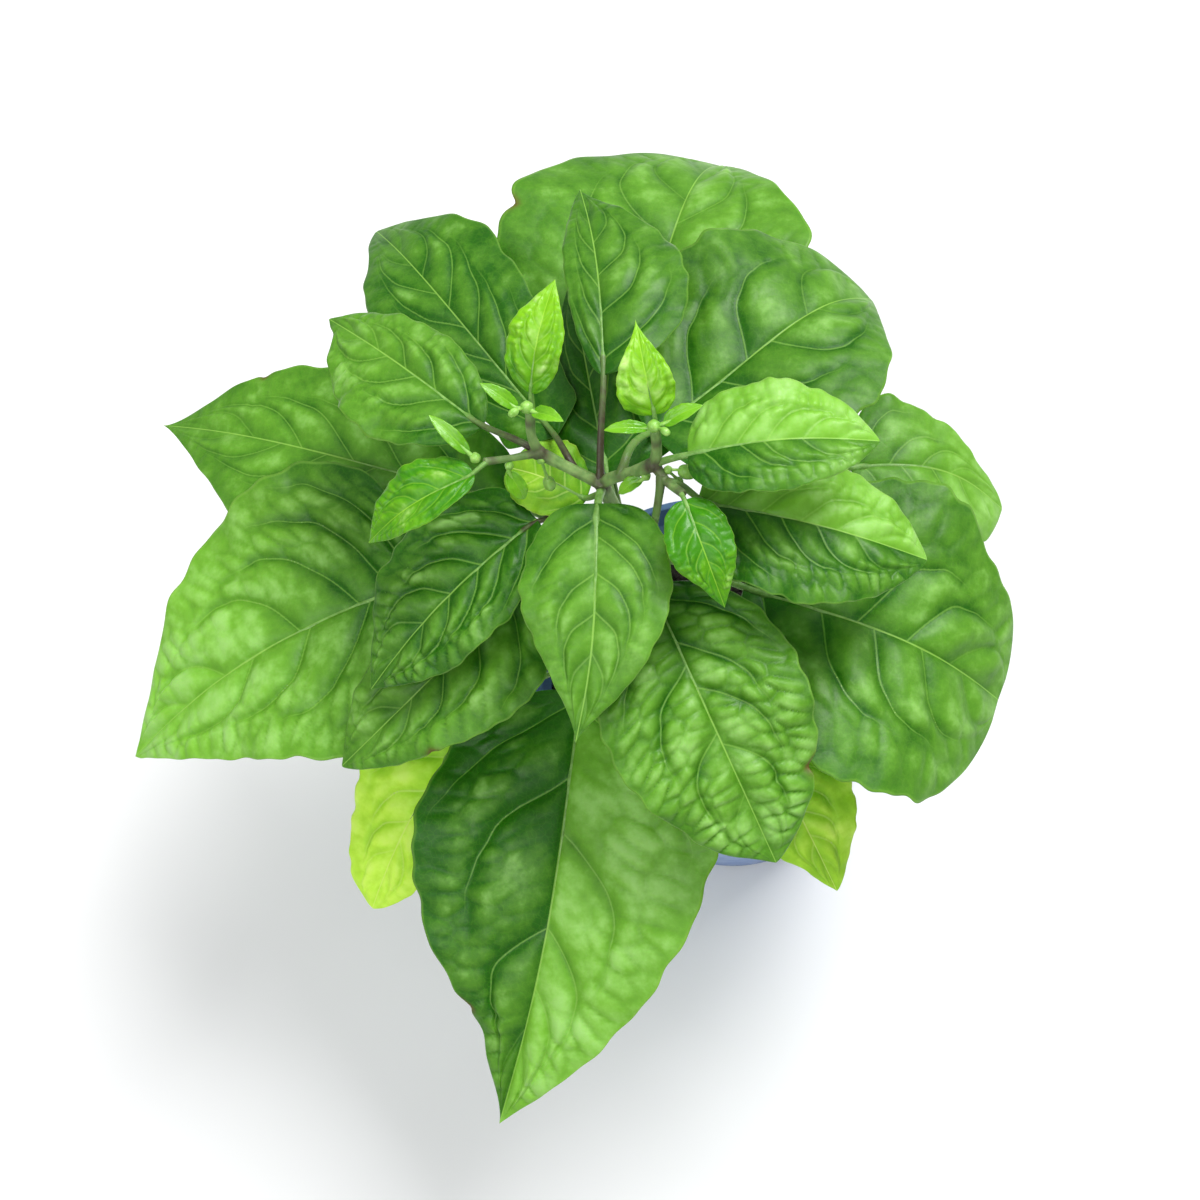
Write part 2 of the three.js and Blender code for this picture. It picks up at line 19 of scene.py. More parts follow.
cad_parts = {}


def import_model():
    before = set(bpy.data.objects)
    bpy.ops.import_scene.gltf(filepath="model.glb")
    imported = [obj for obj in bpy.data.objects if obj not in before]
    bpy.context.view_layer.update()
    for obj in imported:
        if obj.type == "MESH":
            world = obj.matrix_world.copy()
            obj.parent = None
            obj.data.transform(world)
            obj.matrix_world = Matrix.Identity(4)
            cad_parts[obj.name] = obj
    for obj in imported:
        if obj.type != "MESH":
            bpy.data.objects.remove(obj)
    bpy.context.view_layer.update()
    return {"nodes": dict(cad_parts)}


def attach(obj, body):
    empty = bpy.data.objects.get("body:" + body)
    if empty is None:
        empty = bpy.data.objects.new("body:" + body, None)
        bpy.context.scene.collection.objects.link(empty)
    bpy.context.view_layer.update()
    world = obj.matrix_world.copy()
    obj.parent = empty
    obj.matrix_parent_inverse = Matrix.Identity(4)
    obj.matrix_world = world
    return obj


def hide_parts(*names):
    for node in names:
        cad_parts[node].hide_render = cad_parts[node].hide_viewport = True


MM = 0.001
BODY = "root"
MERGE_DECIMALS = 5  # points whose millimetres agree this far are one point
SCATTER_FACTORS = (127.1, 311.7, 74.7)
SCATTER_SPREAD = 43758.5453
TURNING_RADIUS = 1.0  # of the small circle that the pot's section is swept round
log = logging.getLogger("pepper_plant")

Point = tuple[float, float, float]
Colour = tuple[float, float, float]
Range = tuple[float, float]
Sides = float | tuple[float, float]


# ---- small tools


def unit(vectors: np.ndarray) -> np.ndarray:
    """Returns the vectors, along the last axis, at length 1."""
    return vectors / np.maximum(np.linalg.norm(vectors, axis=-1, keepdims=True), 1e-12)


def scatter(*keys: np.ndarray | float) -> np.ndarray:
    """Turns number keys into repeatable values from 0 to 1, with no visible order.

    Args:
        keys: arrays or numbers of one shape.

    Returns:
        An array of that shape.
    """
    total = sum(np.asarray(key, float) * factor for key, factor in zip(keys, SCATTER_FACTORS))
    return np.mod(np.sin(total) * SCATTER_SPREAD, 1.0)


def half(value: Sides, side: int) -> float:
    """Returns the value for a leaf's left half, side 0, or its right half, side 1."""
    return value[side] if isinstance(value, tuple) else value


def smooth_between(low: float, high: float, value: np.ndarray) -> np.ndarray:
    """Returns 0 below low, 1 above high and a smooth rise between them."""
    share = np.clip((value - low) / (high - low), 0, 1)
    return share * share * (3 - 2 * share)


def through(points: Sequence[Point], values: Sequence[float], steps: int) -> tuple[np.ndarray, np.ndarray]:
    """Runs a smooth curve through points, with a value that follows it.

    Args:
        points: the points, in millimetres.
        values: one value for each point.
        steps: how many pieces the curve has between two points.

    Returns:
        The curve's points and the values at them.
    """
    knots = np.asarray(points, float)
    padded = np.vstack([2 * knots[0] - knots[1], knots, 2 * knots[-1] - knots[-2]])
    path, sizes = [knots[0]], [values[0]]
    for index in range(len(knots) - 1):
        before, start, end, after = padded[index:index + 4]
        for step in range(1, steps + 1):
            t = step / steps
            path.append(0.5 * (2 * start + (end - before) * t
                               + (2 * before - 5 * start + 4 * end - after) * t * t
                               + (3 * start - before - 3 * end + after) * t ** 3))
            sizes.append(values[index] + (values[index + 1] - values[index]) * t)
    return np.array(path), np.array(sizes)


def grid_faces(rows: int, columns: int, flip: bool) -> np.ndarray:
    """Numbers the faces of a grid of points, which face up where columns run to the right.

    Args:
        rows: how many rows of points the grid has.
        columns: how many points a row has.
        flip: whether the faces are turned over.

    Returns:
        One row of four point numbers for each face.
    """
    index = np.arange(rows * columns).reshape(rows, columns)
    faces = np.stack([index[:-1, :-1], index[:-1, 1:], index[1:, 1:], index[1:, :-1]], -1).reshape(-1, 4)
    return faces[:, ::-1] if flip else faces


def add_object(name: str, data: bpy.types.ID) -> bpy.types.Object:
    """Adds an object with this mesh, light or camera to the scene, at the origin."""
    made = bpy.data.objects.new(name, data)
    bpy.context.scene.collection.objects.link(made)
    return made


def store(mesh: bpy.types.Mesh, label: str, domain: str, values: np.ndarray) -> None:
    """Stores a number for each point or each face corner of a mesh, under a label."""
    layer = mesh.attributes.new(label, "FLOAT", domain)
    layer.data.foreach_set("value", np.ascontiguousarray(values, np.float32))


@dataclass
class Draft:
    """A mesh being drawn up, in millimetres, with values on its face corners."""

    points: list[np.ndarray] = field(default_factory=list)
    faces: list[np.ndarray] = field(default_factory=list)
    values: dict[str, list[np.ndarray]] = field(default_factory=dict)
    count: int = 0

    def add(self, points: np.ndarray, faces: np.ndarray, **values: np.ndarray) -> None:
        """Adds points, four-cornered faces among them, and values of the faces' corners.

        Args:
            points: one row for each point.
            faces: one row of four point numbers for each face, counted from this call's points.
            values: by name, arrays of one value for each of this call's points.
        """
        self.points.append(points.reshape(-1, 3))
        self.faces.append(faces + self.count)
        for name, value in values.items():
            self.values.setdefault(name, []).append(np.ravel(value)[faces])
        self.count += self.points[-1].shape[0]

    def finish(self, name: str, material: bpy.types.Material) -> bpy.types.Object:
        """Makes the piece: merges doubled points, and writes each value as an attribute.

        Args:
            name: the piece's name.
            material: its material.

        Returns:
            The new object, at the origin.
        """
        points = np.vstack(self.points)
        faces = np.vstack(self.faces)
        _, first, merged = np.unique(np.round(points, MERGE_DECIMALS), axis=0, return_index=True,
                                     return_inverse=True)
        merged = merged.reshape(-1)[faces]
        keep = merged != np.roll(merged, -1, axis=1)
        whole = keep.sum(1) >= 3
        loops = [row[flags].tolist() for row, flags in zip(merged[whole], keep[whole])]
        mesh = bpy.data.meshes.new(name)
        mesh.from_pydata((points[first] * MM).tolist(), [], loops)
        for label, parts in self.values.items():
            store(mesh, label, "CORNER", np.vstack(parts)[whole][keep[whole]])
        mesh.shade_smooth()
        mesh.update()
        mesh.materials.append(material)
        return add_object(name, mesh)


def seat(piece: bpy.types.Object, slot: str, *nodes: str) -> bpy.types.Object:
    """Hangs a finished piece on the plant's body and hides the solids that it stands for.

    Args:
        piece: the piece.
        slot: its material slot; not used.
        nodes: the solids that it stands for.

    Returns:
        The piece.
    """
    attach(piece, BODY)
    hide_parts(*nodes)
    log.info("%s: %d faces, stands for %s", piece.name, len(piece.data.polygons), ", ".join(nodes))
    return piece


# ---- node trees


class Bench:
    """Adds nodes to one tree and links them."""

    NODES_IN_A_ROW = 12
    SPACING = (190, -260)

    def __init__(self, tree: bpy.types.NodeTree) -> None:
        """Starts work on the tree."""
        self.tree = tree
        self.made = 0

    def node(self, kind: str, inputs: dict | None = None, **settings: object) -> bpy.types.Node:
        """Adds a node.

        Args:
            kind: the node's type name.
            inputs: for an input's name or number, a plain value or a socket to link.
            settings: the node's own properties.

        Returns:
            The node.
        """
        made = self.tree.nodes.new(kind)
        row, column = divmod(self.made, self.NODES_IN_A_ROW)
        made.location = (column * self.SPACING[0], row * self.SPACING[1])
        self.made += 1
        for key, value in settings.items():
            setattr(made, key, value)
        for key, value in (inputs or {}).items():
            self.feed(made.inputs[key], value)
        return made

    def feed(self, socket: bpy.types.NodeSocket, value: object) -> None:
        """Gives an input its value.

        Args:
            socket: the input.
            value: a socket to link to it, or a plain value.
        """
        if isinstance(value, bpy.types.NodeSocket):
            self.tree.links.new(value, socket)
        elif isinstance(value, tuple) and len(value) == 3 and socket.type == "RGBA":
            socket.default_value = (*value, 1.0)
        else:
            socket.default_value = value

    def math(self, operation: str, *values: object, clamp: bool = False) -> bpy.types.NodeSocket:
        """Adds a Math node and returns its result."""
        return self.node("ShaderNodeMath", dict(enumerate(values)), operation=operation,
                         use_clamp=clamp).outputs[0]

    def plus(self, first: object, second: object, clamp: bool = False) -> bpy.types.NodeSocket:
        """Adds two values, and where asked keeps the sum from 0 to 1."""
        return self.math("ADD", first, second, clamp=clamp)

    def minus(self, first: object, second: object) -> bpy.types.NodeSocket:
        """Takes the second value from the first."""
        return self.math("SUBTRACT", first, second)

    def times(self, first: object, second: object) -> bpy.types.NodeSocket:
        """Multiplies two values."""
        return self.math("MULTIPLY", first, second)

    def ramp(self, value: object, low: object, high: object) -> bpy.types.NodeSocket:
        """Adds a smooth step of a value from low to high and returns it."""
        return self.node("ShaderNodeMapRange", {"Value": value, "From Min": low, "From Max": high},
                         interpolation_type="SMOOTHSTEP").outputs[0]

    def mix(self, share: object, first: object, second: object) -> bpy.types.NodeSocket:
        """Mixes two colours and returns the result."""
        return self.node("ShaderNodeMix", {0: share, 6: first, 7: second}, data_type="RGBA").outputs[2]

    def attribute(self, name: str) -> bpy.types.NodeSocket:
        """Reads a value that is stored on the mesh."""
        return self.node("ShaderNodeAttribute", attribute_name=name).outputs["Fac"]

    def place(self) -> bpy.types.NodeSocket:
        """Reads the place on the piece, in metres."""
        return self.node("ShaderNodeTexCoord").outputs["Object"]

    def noise(self, place: object, scale: object, detail: float, roughness: float = 0.5) -> bpy.types.Node:
        """Adds a noise of a scale, with finer noise over it."""
        return self.node("ShaderNodeTexNoise", {"Vector": place, "Scale": scale, "Detail": detail,
                                                "Roughness": roughness})

    def join(self, x: object = 0.0, y: object = 0.0, z: object = 0.0) -> bpy.types.NodeSocket:
        """Makes a vector of three values."""
        return self.node("ShaderNodeCombineXYZ", {0: x, 1: y, 2: z}).outputs[0]

    def angle(self, place: object) -> bpy.types.NodeSocket:
        """The angle of a place round the Z axis."""
        apart = self.node("ShaderNodeSeparateXYZ", {0: place})
        return self.math("ARCTAN2", apart.outputs[1], apart.outputs[0])


def new_group(name: str, kind: str, inputs: dict[str, tuple[str, object]],
              outputs: dict[str, str]) -> tuple[bpy.types.NodeTree, Bench, dict, bpy.types.Node]:
    """Starts a node group with named sockets.

    Args:
        name: the group's name.
        kind: ShaderNodeTree or GeometryNodeTree.
        inputs: for each input, its socket type and its usual value.
        outputs: for each output, its socket type.

    Returns:
        The tree, a bench for it, its inputs by name, and its output node.
    """
    tree = bpy.data.node_groups.new(name, kind)
    for label, (socket, value) in inputs.items():
        made = tree.interface.new_socket(label, in_out="INPUT", socket_type=socket)
        if value is not None:
            made.default_value = (*value, 1.0) if socket == "NodeSocketColor" else value
    for label, socket in outputs.items():
        tree.interface.new_socket(label, in_out="OUTPUT", socket_type=socket)
    bench = Bench(tree)
    source = bench.node("NodeGroupInput")
    return tree, bench, {out.name: out for out in source.outputs if out.name}, bench.node("NodeGroupOutput")


FLOAT, COLOUR, GEOMETRY = "NodeSocketFloat", "NodeSocketColor", "NodeSocketGeometry"
WHOLE_NUMBER, MATERIAL = "NodeSocketInt", "NodeSocketMaterial"


class SharedLooks:
    """The effects that several finishes use, each a node group that is built once."""

    def __init__(self) -> None:
        """Builds the groups."""
        self.veins = self._veins()
        self.net = self._net()
        self.tissue = self._tissue()
        self.grain = self._grain()

    @staticmethod
    def _veins() -> bpy.types.NodeTree:
        """Builds the group that draws a leaf's midrib and side veins from the blade's own values."""
        rib_edge, rim, before_first_vein = (0.5, 1.2), (0.972, 0.992), (-0.5, -0.4)
        width_at_midrib, lost_at_margin = 1.2, 0.9
        tree, bench, given, result = new_group(
            "Leaf veins", "ShaderNodeTree",
            {"Rib": (FLOAT, 1.0), "Vein Phase": (FLOAT, 0.5), "Strip Width": (FLOAT, 20.0),
             "Strength": (FLOAT, 1.0), "Margin": (FLOAT, 0.0), "Line Width": (FLOAT, 0.25),
             "Softness": (FLOAT, 0.3)},
            {"Midrib": FLOAT, "Side Veins": FLOAT, "Edge": FLOAT})
        wrapped = bench.math("FRACT", bench.plus(given["Vein Phase"], 0.5))
        apart = bench.math("ABSOLUTE", bench.minus(wrapped, 0.5))
        distance = bench.times(apart, given["Strip Width"])
        thinning = bench.minus(width_at_midrib, bench.times(given["Margin"], lost_at_margin))
        inner = bench.times(given["Line Width"], thinning)
        line = bench.minus(1.0, bench.ramp(distance, inner, bench.plus(inner, given["Softness"])))
        real = bench.ramp(given["Vein Phase"], *before_first_vein)
        bench.feed(result.inputs["Midrib"], bench.minus(1.0, bench.ramp(given["Rib"], *rib_edge)))
        bench.feed(result.inputs["Side Veins"], bench.times(bench.times(line, given["Strength"]), real))
        bench.feed(result.inputs["Edge"], bench.ramp(given["Margin"], *rim))
        return tree

    @staticmethod
    def _net() -> bpy.types.NodeTree:
        """Builds the group of the finest veins, which meet in a net of small uneven meshes."""
        bend_reach, line_core = 0.0009, 0.3
        tree, bench, given, result = new_group(
            "Vein net", "ShaderNodeTree", {"Meshes": (FLOAT, 400.0), "Line": (FLOAT, 0.07)}, {"Net": FLOAT})
        place = bench.place()
        bend = bench.noise(place, given["Meshes"], 1.0).outputs[1]
        bend = bench.node("ShaderNodeVectorMath", {0: bend, "Scale": bend_reach}, operation="SCALE").outputs[0]
        bent = bench.node("ShaderNodeVectorMath", {0: place, 1: bend}, operation="ADD").outputs[0]
        away = bench.node("ShaderNodeTexVoronoi", {"Vector": bent, "Scale": given["Meshes"]},
                          feature="DISTANCE_TO_EDGE").outputs["Distance"]
        line = bench.ramp(away, bench.times(given["Line"], line_core), given["Line"])
        bench.feed(result.inputs["Net"], bench.minus(1.0, line))
        return tree

    @staticmethod
    def _tissue() -> bpy.types.NodeTree:
        """Builds the group that colours living tissue: patches, painted light on quilted tops with painted shade in
        creases, a painted whitish sheen, veins and scorches.
        """
        # The relief value paints light on quilted tops and painted shade in creases; its weight sets how strong.
        relief_light_weight, drift_weight, patch_detail, patch_roughness = 0.42, 0.9, 4.0, 0.6
        # A painted sheen: whitish patches laid on the quilted tops, where highlights would fall.
        sheen_drift, sheen_tone, sheen_span = 2.0, 0.5, (0.25, 1.0)
        edge_share = 0.25
        tree, bench, given, result = new_group(
            "Leaf tissue", "ShaderNodeTree",
            {"Deep": (COLOUR, (0.03, 0.12, 0.01)), "Light": (COLOUR, (0.15, 0.4, 0.04)),
             "Bloom": (COLOUR, (0.5, 0.7, 0.3)), "Bloom Share": (FLOAT, 0.5),
             "Vein": (COLOUR, (0.35, 0.6, 0.12)), "Scorch Colour": (COLOUR, (0.12, 0.05, 0.02)),
             "Tone": (FLOAT, 0.5), "Relief": (FLOAT, 0.5), "Vein Mask": (FLOAT, 0.0), "Net": (FLOAT, 0.0),
             "Edge Mask": (FLOAT, 0.0), "Scorch": (FLOAT, 0.0), "Patches per Metre": (FLOAT, 90.0)},
            {"Color": COLOUR})
        patches = bench.noise(bench.place(), given["Patches per Metre"], patch_detail, patch_roughness).outputs[0]
        relief = bench.times(given["Relief"], relief_light_weight)
        drift = bench.times(bench.minus(patches, 0.5), drift_weight)
        share = bench.plus(bench.plus(relief, drift), given["Tone"], clamp=True)
        sheen_level = bench.plus(relief, bench.times(drift, sheen_drift))
        sheen_level = bench.plus(sheen_level, bench.times(given["Tone"], sheen_tone))
        colour = bench.mix(share, given["Deep"], given["Light"])
        # The first mix paints the whitish sheen on the tops; the others lay on the net, veins, margin and scorches.
        for mask, over in ((bench.times(bench.ramp(sheen_level, *sheen_span), given["Bloom Share"]), "Bloom"),
                           (given["Net"], "Light"), (given["Vein Mask"], "Vein"),
                           (bench.times(given["Edge Mask"], edge_share), "Vein"),
                           (given["Scorch"], "Scorch Colour")):
            colour = bench.mix(mask, colour, given[over])
        bench.feed(result.inputs["Color"], colour)
        return tree

    @staticmethod
    def _grain() -> bpy.types.NodeTree:
        """Builds the group of fine surface relief: small cells and a finer roughness over them."""
        grit_scale, patch_scale, detail, patch_span = 2.5, 0.15, 3.0, (0.3, 0.7)
        tree, bench, given, result = new_group(
            "Fine grain", "ShaderNodeTree",
            {"Cells per Metre": (FLOAT, 700.0), "Cells": (FLOAT, 0.5), "Grit": (FLOAT, 0.5),
             "Low Roughness": (FLOAT, 0.35), "High Roughness": (FLOAT, 0.55)},
            {"Height": FLOAT, "Roughness": FLOAT})
        place, scale = bench.place(), given["Cells per Metre"]
        cells = bench.node("ShaderNodeTexVoronoi", {"Vector": place, "Scale": scale},
                           feature="SMOOTH_F1").outputs["Distance"]
        grit = bench.noise(place, bench.times(scale, grit_scale), detail).outputs[0]
        patches = bench.noise(place, bench.times(scale, patch_scale), detail).outputs[0]
        rounded = bench.times(bench.minus(1.0, cells), given["Cells"])
        span = bench.minus(given["High Roughness"], given["Low Roughness"])
        rougher = bench.times(span, bench.ramp(patches, *patch_span))
        bench.feed(result.inputs["Height"], bench.plus(rounded, bench.times(grit, given["Grit"])))
        bench.feed(result.inputs["Roughness"], bench.plus(given["Low Roughness"], rougher))
        return tree


def start_material(name: str) -> tuple[bpy.types.Material, Bench, bpy.types.Node]:
    """Starts a node material.

    Args:
        name: its name.

    Returns:
        The material, a bench for its tree, and its shader node.
    """
    material = bpy.data.materials.new(name)
    material.use_nodes = True
    material.node_tree.nodes.clear()
    bench = Bench(material.node_tree)
    shader = bench.node("ShaderNodeBsdfPrincipled")
    bench.node("ShaderNodeOutputMaterial", {"Surface": shader.outputs[0]})
    return material, bench, shader


@dataclass(frozen=True)
class Grain:
    """A finish's own values for the shared grain, and for the bump that shows it."""

    per_metre: float
    cells: float
    grit: float
    strength: float
    depth: float

    def place(self, bench: Bench, looks: SharedLooks, roughness: Range) -> bpy.types.Node:
        """Places the shared grain in a material."""
        return bench.node("ShaderNodeGroup", {
            "Cells per Metre": self.per_metre, "Cells": self.cells, "Grit": self.grit,
            "Low Roughness": roughness[0], "High Roughness": roughness[1]}, node_tree=looks.grain)

    def dress(self, bench: Bench, shader: bpy.types.Node, colour: object, roughness: object,
              height: object) -> None:
        """Feeds a shader.

        Args:
            bench: the material's bench.
            shader: its shader node.
            colour: its colour.
            roughness: its roughness.
            height: the relief, for the bump.
        """
        bump = bench.node("ShaderNodeBump", {"Height": height, "Strength": self.strength,
                                             "Distance": self.depth})
        for socket, value in (("Base Color", colour), ("Roughness", roughness), ("Normal", bump.outputs[0])):
            bench.feed(shader.inputs[socket], value)


@dataclass(frozen=True)
class LeafFinish:
    """The look of one age of leaf."""

    name: str
    deep: Colour
    light: Colour
    vein: Colour
    underside: Colour
    # the colour of the painted sheen on the quilted tops
    painted_sheen: Colour
    roughness: Range
    coat: float = 0.0
    painted_sheen_share: float = 0.48
    scorch: Colour = (0.1, 0.055, 0.012)
    glow: float = 0.12
    line_width: float = 0.1
    line_share: float = 0.3
    net_share: float = 0.06
    meshes: float = 420.0
    shine: float = 0.28

    GRAIN = Grain(750.0, cells=0.6, grit=0.25, strength=0.25, depth=0.0004)
    STORED = {"Rib": "rib", "Vein Phase": "vein_phase", "Strip Width": "strip_mm", "Strength": "strength",
              "Margin": "margin"}
    VEIN_HEIGHT = 0.35
    NET_DEPTH = 0.05
    COAT_ROUGHNESS = 0.25
    GLOW_RADIUS = (0.5, 1.0, 0.15)
    GLOW_DEPTH = 0.002

    def material(self, looks: SharedLooks) -> bpy.types.Material:
        """Builds the material.

        Args:
            looks: the shared node groups.

        Returns:
            The material, which reads the values stored on the blades.
        """
        material, bench, shader = start_material(self.name)
        values = {socket: bench.attribute(stored) for socket, stored in self.STORED.items()}
        veins = bench.node("ShaderNodeGroup", {**values, "Line Width": self.line_width},
                           node_tree=looks.veins).outputs
        lines = bench.math("MAXIMUM", veins["Midrib"], veins["Side Veins"])
        mask = bench.math("MAXIMUM", bench.times(veins["Midrib"], 2 * self.line_share),
                          bench.times(veins["Side Veins"], self.line_share))
        net = bench.node("ShaderNodeGroup", {"Meshes": self.meshes}, node_tree=looks.net).outputs["Net"]
        tissue = bench.node("ShaderNodeGroup", {
            "Deep": self.deep, "Light": self.light, "Vein": self.vein, "Bloom": self.painted_sheen,
            "Bloom Share": self.painted_sheen_share, "Scorch Colour": self.scorch, "Vein Mask": mask,
            "Net": bench.times(net, self.net_share), "Edge Mask": veins["Edge"],
            "Tone": bench.attribute("tone"), "Relief": bench.attribute("relief"),
            "Scorch": bench.attribute("scorch")}, node_tree=looks.tissue).outputs["Color"]
        colour = bench.mix(bench.attribute("under"), tissue, bench.mix(mask, self.underside, self.vein))
        grain = self.GRAIN.place(bench, looks, self.roughness).outputs
        raised = bench.minus(bench.times(lines, self.VEIN_HEIGHT), bench.times(net, self.NET_DEPTH))
        self.GRAIN.dress(bench, shader, colour, grain["Roughness"], bench.plus(grain["Height"], raised))
        for socket, value in (("Specular IOR Level", self.shine), ("Coat Weight", self.coat),
                              ("Coat Roughness", self.COAT_ROUGHNESS), ("Subsurface Weight", self.glow),
                              ("Subsurface Radius", self.GLOW_RADIUS), ("Subsurface Scale", self.GLOW_DEPTH)):
            shader.inputs[socket].default_value = value
        return material


@dataclass(frozen=True)
class SkinFinish:
    """The look of a stalk, stem or bud: green skin that browns where its browning value says so."""

    name: str
    green: Colour
    pale: Colour
    brown: Colour
    roughness: Range = (0.4, 0.6)

    GRAIN = Grain(900.0, cells=0.5, grit=0.5, strength=0.35, depth=0.0005)
    STREAKS_PER_METRE = 420.0
    STREAK_STRETCH = (1.0, 1.0, 0.25)
    STREAK_SPAN = (0.3, 0.7)
    BROWN_DRIFT = 0.5
    BROWN_SPAN = (0.15, 0.75)
    GLOW = 0.1
    GLOW_DEPTH = 0.0015

    def material(self, looks: SharedLooks) -> bpy.types.Material:
        """Builds the material.

        Args:
            looks: the shared node groups.

        Returns:
            The material.
        """
        material, bench, shader = start_material(self.name)
        stretched = bench.node("ShaderNodeMapping", {"Vector": bench.place(), "Scale": self.STREAK_STRETCH})
        streaks = bench.noise(stretched.outputs[0], self.STREAKS_PER_METRE, 3.0).outputs[0]
        colour = bench.mix(bench.ramp(streaks, *self.STREAK_SPAN), self.green, self.pale)
        drift = bench.times(bench.minus(streaks, 0.5), self.BROWN_DRIFT)
        spread = bench.plus(bench.attribute("browning"), drift, clamp=True)
        colour = bench.mix(bench.ramp(spread, *self.BROWN_SPAN), colour, self.brown)
        grain = self.GRAIN.place(bench, looks, self.roughness).outputs
        self.GRAIN.dress(bench, shader, colour, grain["Roughness"], grain["Height"])
        shader.inputs["Subsurface Weight"].default_value = self.GLOW
        shader.inputs["Subsurface Scale"].default_value = self.GLOW_DEPTH
        return material


@dataclass(frozen=True)
class PlasticFinish:
    """Moulded nursery pot plastic: a faint orange peel, faded clouds, and dust near its foot."""

    name: str = "Blue pot plastic"
    colour: Colour = (0.135, 0.24, 0.5)
    faded: Colour = (0.2, 0.31, 0.56)
    dust: Colour = (0.22, 0.2, 0.17)
    roughness: Range = (0.34, 0.5)
    dust_height: float = 0.03
    dust_share: float = 0.55
    dust_roughness: float = 0.3
    splash_share: float = 0.6

    GRAIN = Grain(520.0, cells=0.25, grit=0.2, strength=0.12, depth=0.0006)
    CLOUDS = {"scale": 28.0, "detail": 5.0, "roughness": 0.65}
    SPECKS = {"scale": 260.0, "detail": 3.0}
    CLOUD_SPAN = (0.35, 0.75)
    FOOT_SPECK_SPAN = (0.45, 0.75)
    SPLASH_CLOUD_SPAN = (0.55, 0.8)
    SPLASH_SPECK_SPAN = (0.58, 0.7)

    def material(self, looks: SharedLooks) -> bpy.types.Material:
        """Builds the material.

        Args:
            looks: the shared node groups.

        Returns:
            The material.
        """
        material, bench, shader = start_material(self.name)
        place = bench.place()
        clouds = bench.noise(place, **self.CLOUDS).outputs[0]
        specks = bench.noise(place, **self.SPECKS).outputs[0]
        height = bench.node("ShaderNodeSeparateXYZ", {0: place}).outputs[2]
        near_foot = bench.minus(1.0, bench.ramp(height, 0.0, self.dust_height))
        splashed = bench.times(bench.ramp(clouds, *self.SPLASH_CLOUD_SPAN),
                               bench.ramp(specks, *self.SPLASH_SPECK_SPAN))
        dusty = bench.math("MAXIMUM", bench.times(near_foot, bench.ramp(specks, *self.FOOT_SPECK_SPAN)),
                           bench.times(splashed, self.splash_share))
        colour = bench.mix(bench.ramp(clouds, *self.CLOUD_SPAN), self.colour, self.faded)
        colour = bench.mix(bench.times(dusty, self.dust_share), colour, self.dust)
        grain = self.GRAIN.place(bench, looks, self.roughness).outputs
        rough = bench.plus(grain["Roughness"], bench.times(dusty, self.dust_roughness), clamp=True)
        self.GRAIN.dress(bench, shader, colour, rough, grain["Height"])
        return material


@dataclass(frozen=True)
class SoilFinish:
    """Dark damp potting soil."""

    name: str = "Potting soil"
    dark: Colour = (0.006, 0.0045, 0.0035)
    light: Colour = (0.035, 0.024, 0.016)
    roughness: Range = (0.75, 0.98)

    GRAIN = Grain(650.0, cells=0.8, grit=1.0, strength=0.8, depth=0.001)
    LUMPS = {"scale": 240.0, "detail": 6.0, "roughness": 0.7}
    LUMP_SPAN = (0.35, 0.75)

    def material(self, looks: SharedLooks) -> bpy.types.Material:
        """Builds the material.

        Args:
            looks: the shared node groups.

        Returns:
            The material.
        """
        material, bench, shader = start_material(self.name)
        lumps = bench.noise(bench.place(), **self.LUMPS).outputs[0]
        colour = bench.mix(bench.ramp(lumps, *self.LUMP_SPAN), self.dark, self.light)
        grain = self.GRAIN.place(bench, looks, self.roughness).outputs
        self.GRAIN.dress(bench, shader, colour, grain["Roughness"], grain["Height"])
        return material


class Age(Enum):
    """How old a leaf is, which sets its finish."""

    MATURE = "mature_leaf"
    PALE = "pale_leaf"
    YOUNG = "young_leaf"
    TINY = "green_bud"


LEAF_FINISHES = {
    Age.MATURE: LeafFinish(
        "Mature leaf", deep=(0.014, 0.1, 0.0), light=(0.2, 0.48, 0.035), vein=(0.3, 0.56, 0.09),
        underside=(0.16, 0.33, 0.1), painted_sheen=(0.4, 0.66, 0.24), roughness=(0.4, 0.54)),
    Age.PALE: LeafFinish(
        "Pale leaf", deep=(0.09, 0.31, 0.006), light=(0.56, 0.93, 0.05), vein=(0.7, 0.9, 0.22),
        underside=(0.3, 0.5, 0.16), painted_sheen=(0.75, 0.95, 0.25), roughness=(0.45, 0.6), line_width=0.15),
    Age.YOUNG: LeafFinish(
        "Young leaf", deep=(0.04, 0.22, 0.0), light=(0.32, 0.7, 0.01), vein=(0.42, 0.74, 0.06),
        underside=(0.22, 0.46, 0.1), painted_sheen=(0.7, 0.92, 0.42), roughness=(0.3, 0.46), painted_sheen_share=0.85,
        line_width=0.06, line_share=0.22, net_share=0.03, meshes=700.0, shine=0.32),
    Age.TINY: LeafFinish(
        "Growing tip", deep=(0.06, 0.26, 0.0), light=(0.26, 0.6, 0.02), vein=(0.34, 0.66, 0.05),
        underside=(0.25, 0.48, 0.12), painted_sheen=(0.4, 0.72, 0.12), roughness=(0.26, 0.4), coat=0.15,
        line_width=0.03, line_share=0.12, net_share=0.02, meshes=900.0, shine=0.4),
}
STALK_FINISH = SkinFinish("Leaf stalk", green=(0.12, 0.28, 0.04), pale=(0.22, 0.42, 0.1),
                          brown=(0.045, 0.035, 0.015))
STEM_FINISH = SkinFinish("Stem", green=(0.13, 0.25, 0.06), pale=(0.25, 0.4, 0.12),
                         brown=(0.055, 0.033, 0.028), roughness=(0.42, 0.62))
# The bud's brown is a dark green, which also paints shade into the buds' grooves.
BUD_FINISH = SkinFinish("Flower bud", green=(0.18, 0.42, 0.05), pale=(0.34, 0.62, 0.13),
                        brown=(0.05, 0.09, 0.02), roughness=(0.28, 0.42))


# ---- geometry trees


